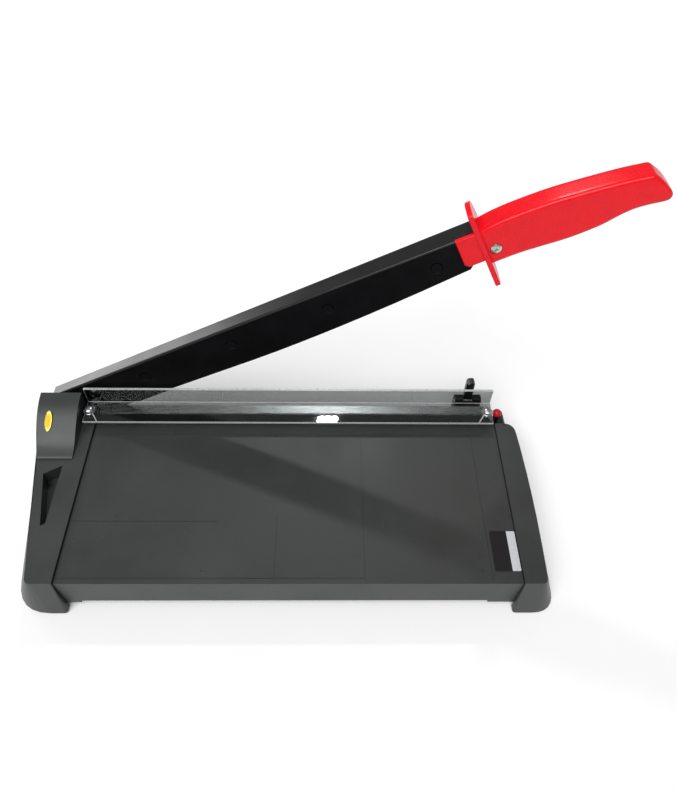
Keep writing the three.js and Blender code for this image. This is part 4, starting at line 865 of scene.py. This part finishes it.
class CUTTER_OT_guard(bpy.types.Operator):
    """Clear guard: the bent acrylic sheet with polished edges painted pale as a highlight, and its washers"""

    bl_idname = "cutter.guard"
    bl_label = "Clear guard"

    def execute(self, context):
        sizes = context.scene.cutter_sizes
        guard = clean_copy("clear_guard", "guard_sheet")
        round_edges(guard, sizes.guard_edge, 2, lambda e, a: a > 0.8 and e.calc_length() > 1.2 * MM)
        smooth(guard)
        dress(guard, finish_of("clear_acrylic"))
        # The guard's thin edge faces take a pale material: a painted highlight along its edges.
        guard.data.materials.append(edge_painted_highlight("acrylic_edge_painted_highlight"))
        for face in guard.data.polygons:
            corners = [guard.data.vertices[i].co for i in face.vertices]
            longest = max((a - b).length for a, b in zip(corners, corners[1:] + corners[:1]))
            face.material_index = int(face.area / longest < 2.1 * MM)
        hand_over(guard, "base", "clear_acrylic", "clear_guard")
        left, right = foot_of("guard_washer_left"), foot_of("guard_washer_right")
        rim = 4.5
        ring = spun("washer_ring_left", [
            (2.0, 0), (rim - 0.15, 0), (rim, 0.15), (rim, 0.6), (rim - 0.2, 0.8), (2.2, 0.8), (2.0, 0.6),
            (2.0, 0.0)], left, (0, 0, 1))
        smooth(ring)
        hand_over(ring, "base", "bright_steel", "guard_washer_left")
        twin = copied(ring, "washer_ring_right", right - left)
        hand_over(twin, "base", "bright_steel", "guard_washer_right")
        return {"FINISHED"}


class CUTTER_OT_screws(bpy.types.Operator):
    """Screws: domed pan heads with cross recesses on the guard, and the handle's screw"""

    bl_idname = "cutter.screws"
    bl_label = "Screws"

    def execute(self, context):
        left, right = foot_of("guard_screw_left"), foot_of("guard_screw_right")
        head = 2.4 * MM
        base = Vector((left.x, left.y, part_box("guard_screw_left")[1].z - head))
        screw = spun("pan_screw_left", [
            (0, -19.9), (1.5, -19.4), (1.5, 0), (3.55, 0), (3.7, 0.2), (3.66, 0.8), (3.4, 1.35),
            (2.9, 1.85), (2.1, 2.2), (1.1, 2.36), (0, 2.4)], base, (0, 0, 1))
        self.recess(screw, base + Vector((0, 0, head)), Vector((0, 0, 1)), 25, 1.9)
        smooth(screw, 35)
        hand_over(screw, "base", "bright_steel", "guard_screw_left")
        twin = copied(screw, "pan_screw_right", right - left)
        hand_over(twin, "base", "bright_steel", "guard_screw_right")
        base = on_arm(*HANDLE_SCREW, -1.7)
        screw = spun("handle_pan_screw", [
            (0, -15.7), (1.9, -15.7), (1.9, 0), (3.7, 0), (3.75, 0.2), (3.6, 0.8), (2.9, 1.3), (1.8, 1.55),
            (0, 1.6)], base, (0, -1, 0))
        self.recess(screw, base + Vector((0, -1.6 * MM, 0)), Vector((0, -1, 0)), 20, 1.8)
        smooth(screw, 35)
        hand_over(screw, "arm", "zinc_plated_steel", "handle_screw")
        return {"FINISHED"}

    def recess(self, screw, top, axis, degrees, reach):
        """Cuts a tapered cross into a head."""
        turn = Vector((0, 0, 1)).rotation_difference(axis).to_matrix().to_4x4()
        for quarter in (0, 90):
            bpy.ops.object.select_all(action="DESELECT")
            bpy.ops.mesh.primitive_cube_add(size=1)
            bar = bpy.context.object
            bar.data.transform(Matrix.Diagonal((2 * reach * MM, 0.75 * MM, 2.6 * MM, 1)))
            for vertex in bar.data.vertices:
                if vertex.co.z < 0:
                    vertex.co.x *= 0.35
                    vertex.co.y *= 0.6
            spin = Matrix.Rotation(math.radians(degrees + quarter), 4, "Z")
            bar.data.transform(Matrix.Translation(top) @ turn @ spin)
            modify(screw, "BOOLEAN", operation="DIFFERENCE", object=bar, solver="EXACT")
            bpy.data.objects.remove(bar)


class CUTTER_OT_latch(bpy.types.Operator):
    """Latch: the black tongue with its rounded crown, and its domed red button"""

    bl_idname = "cutter.latch"
    bl_label = "Latch"

    # The tongue's width, how far its crown is below the lever's box, and the crown's rise.
    tongue_width = 6.2 * MM
    crown_drop = 1.6 * MM
    crown_rise = 4.4 * MM
    clear = 3 * MM

    def execute(self, context):
        lever = clean_copy("latch_lever", "latch_tongue")
        low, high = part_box("latch_lever")
        left, right = low.x, low.x + self.tongue_width
        middle, half = (left + right) / 2, (right - left) / 2
        shoulder = high.z - self.crown_drop - self.crown_rise
        arch = [(middle + half * math.cos(a), shoulder + self.crown_rise * math.sin(a))
                for a in (math.pi * k / 12 for k in range(13))]
        over = [(left - self.clear, shoulder), (left - self.clear, high.z + self.clear),
                (right + self.clear, high.z + self.clear), (right + self.clear, shoulder)]
        cutter = flat_piece("crown_cutter", [(x, low.y - 5 * MM, z) for x, z in arch + over])
        extrude(cutter, (0, high.y - low.y + 10 * MM, 0))
        modify(lever, "BOOLEAN", operation="DIFFERENCE", object=cutter, solver="EXACT")
        bpy.data.objects.remove(cutter)
        round_edges(lever, 0.7 * MM, 3,
                    lambda e, a: a > 0.8 and e.calc_length() > 2 * MM and middle_of(e).z > TABLE_TOP + 6 * MM)
        smooth(lever)
        hand_over(lever, "latch", "black_nylon", "latch_lever")
        base = foot_of("latch_knob")
        button = spun("latch_button", [
            (0, 0), (3.3, 0), (3.65, 0.2), (3.68, 0.9), (3.5, 1.7), (3.0, 2.6), (2.3, 3.35), (1.4, 3.9),
            (0.6, 4.15), (0, 4.2)], base, (0, 0, 1))
        smooth(button, 50)
        dress(button, glossy_abs("crimson_polished_abs", "#a3162c"))
        hand_over(button, "latch", "red_abs", "latch_knob")
        return {"FINISHED"}


class CUTTER_OT_fittings(bpy.types.Operator):
    """Fittings: finishes for the bed bar, pivot pieces, pads and other pieces that keep their shape"""

    bl_idname = "cutter.fittings"
    bl_label = "Fittings"

    def execute(self, context):
        bed = clean_copy("bed_bar", "bed_steel")
        round_edges(bed, 0.25 * MM, 2,
                    lambda e, a: a > 0.8 and e.calc_length() > 6 * MM)
        smooth(bed)
        hand_over(bed, "base", "bright_steel", "bed_bar")
        for name, node in frame["nodes"].items():
            if not node.hide_render:
                # The rivets' heads are blackened together with the blade.
                blackened = name.startswith("blade_rivet")
                dress(node, finish_of("blackened_steel" if blackened else slot_of(name)))
        return {"FINISHED"}


class CUTTER_OT_stage(bpy.types.Operator):
    """Stage: pale floor, soft lights and the camera"""

    bl_idname = "cutter.stage"
    bl_label = "Stage"

    def execute(self, context):
        colours = context.scene.cutter_colours
        bpy.ops.object.select_all(action="DESELECT")
        bpy.ops.mesh.primitive_plane_add(size=12, location=(0, 0, 0))
        floor = bpy.context.object
        floor.name = "studio_floor"
        dress(floor, painted_floor("matt_pale_paint", colours.floor_hex))

        world = bpy.data.worlds.new("studio_air")
        world.use_nodes = True
        world.node_tree.nodes["Background"].inputs["Color"].default_value = linear("#ffffff")
        world.node_tree.nodes["Background"].inputs["Strength"].default_value = 0.3
        context.scene.world = world

        self.add_lamp("key_lamp", "SUN", (-0.35, -0.75, 1.3), 2.9, angle=math.radians(50))
        self.add_lamp("rear_left_softbox", "AREA", (-1.2, 0.9, 0.3), 6, size=0.6)
        self.add_lamp("rear_softbox", "AREA", (0.02, 0.74, 1.0), 1.8, size=0.05)

        settings = context.scene.cutter_camera
        pitch, yaw, roll = settings.pitch, settings.yaw, settings.roll
        forward = Vector((math.sin(yaw) * math.cos(pitch), math.cos(yaw) * math.cos(pitch), -math.sin(pitch)))
        right = Vector((math.cos(yaw), -math.sin(yaw), 0))
        up = right.cross(forward)
        leaned = right * math.cos(roll) + up * math.sin(roll)
        axes = Matrix((leaned, leaned.cross(forward), -forward)).transposed()
        data = bpy.data.cameras.new("studio_camera")
        data.lens = settings.lens
        data.clip_start = 0.01
        camera = bpy.data.objects.new("studio_camera", data)
        context.scene.collection.objects.link(camera)
        place = Vector((FENCE, CUT_LINE, TABLE_TOP)) + settings.place
        camera.matrix_world = Matrix.Translation(place) @ axes.to_4x4()
        context.scene.camera = camera
        context.scene.view_settings.view_transform = "Standard"
        return {"FINISHED"}

    def add_lamp(self, name, kind, place, energy, **settings):
        """A lamp that shines on the cutter and isn't in view itself."""
        bpy.ops.object.light_add(type=kind, location=place)
        lamp = bpy.context.object
        lamp.name = name
        lamp.data.energy = energy
        for key, value in settings.items():
            setattr(lamp.data, key, value)
        lamp.rotation_euler = (Vector((0, 0, 0.05)) - Vector(place)).to_track_quat("-Z", "Y").to_euler()
        lamp.visible_camera = False


class CUTTER_PT_panel(bpy.types.Panel):
    """Lists the sizes, colours and operators."""

    bl_label = "Paper cutter"
    bl_idname = "CUTTER_PT_panel"
    bl_space_type = "VIEW_3D"
    bl_region_type = "UI"
    bl_category = "Cutter"

    def draw(self, context):
        scene = context.scene
        for settings in (scene.cutter_sizes, scene.cutter_colours, scene.cutter_camera):
            for name in settings.__annotations__:
                self.layout.prop(settings, name)
        for operator in OPERATORS:
            self.layout.operator(operator.bl_idname)


OPERATORS = (
    CUTTER_OT_stage,
    CUTTER_OT_table,
    CUTTER_OT_casings,
    CUTTER_OT_cover,
    CUTTER_OT_label,
    CUTTER_OT_arm,
    CUTTER_OT_handle,
    CUTTER_OT_guard,
    CUTTER_OT_screws,
    CUTTER_OT_latch,
    CUTTER_OT_fittings,
)
SETTINGS = (CutterSizes, CutterColours, CutterCamera)


def register():
    for cls in (*SETTINGS, *OPERATORS, CUTTER_PT_panel):
        bpy.utils.register_class(cls)
    bpy.types.Scene.cutter_sizes = bpy.props.PointerProperty(type=CutterSizes)
    bpy.types.Scene.cutter_colours = bpy.props.PointerProperty(type=CutterColours)
    bpy.types.Scene.cutter_camera = bpy.props.PointerProperty(type=CutterCamera)


def unregister():
    del bpy.types.Scene.cutter_camera
    del bpy.types.Scene.cutter_colours
    del bpy.types.Scene.cutter_sizes
    for cls in reversed((*SETTINGS, *OPERATORS, CUTTER_PT_panel)):
        bpy.utils.unregister_class(cls)


def main():
    register()
    for operator in OPERATORS:
        getattr(bpy.ops.cutter, operator.bl_idname.split(".")[1])()
    bpy.context.view_layer.update()


if __name__ == "__main__":
    main()
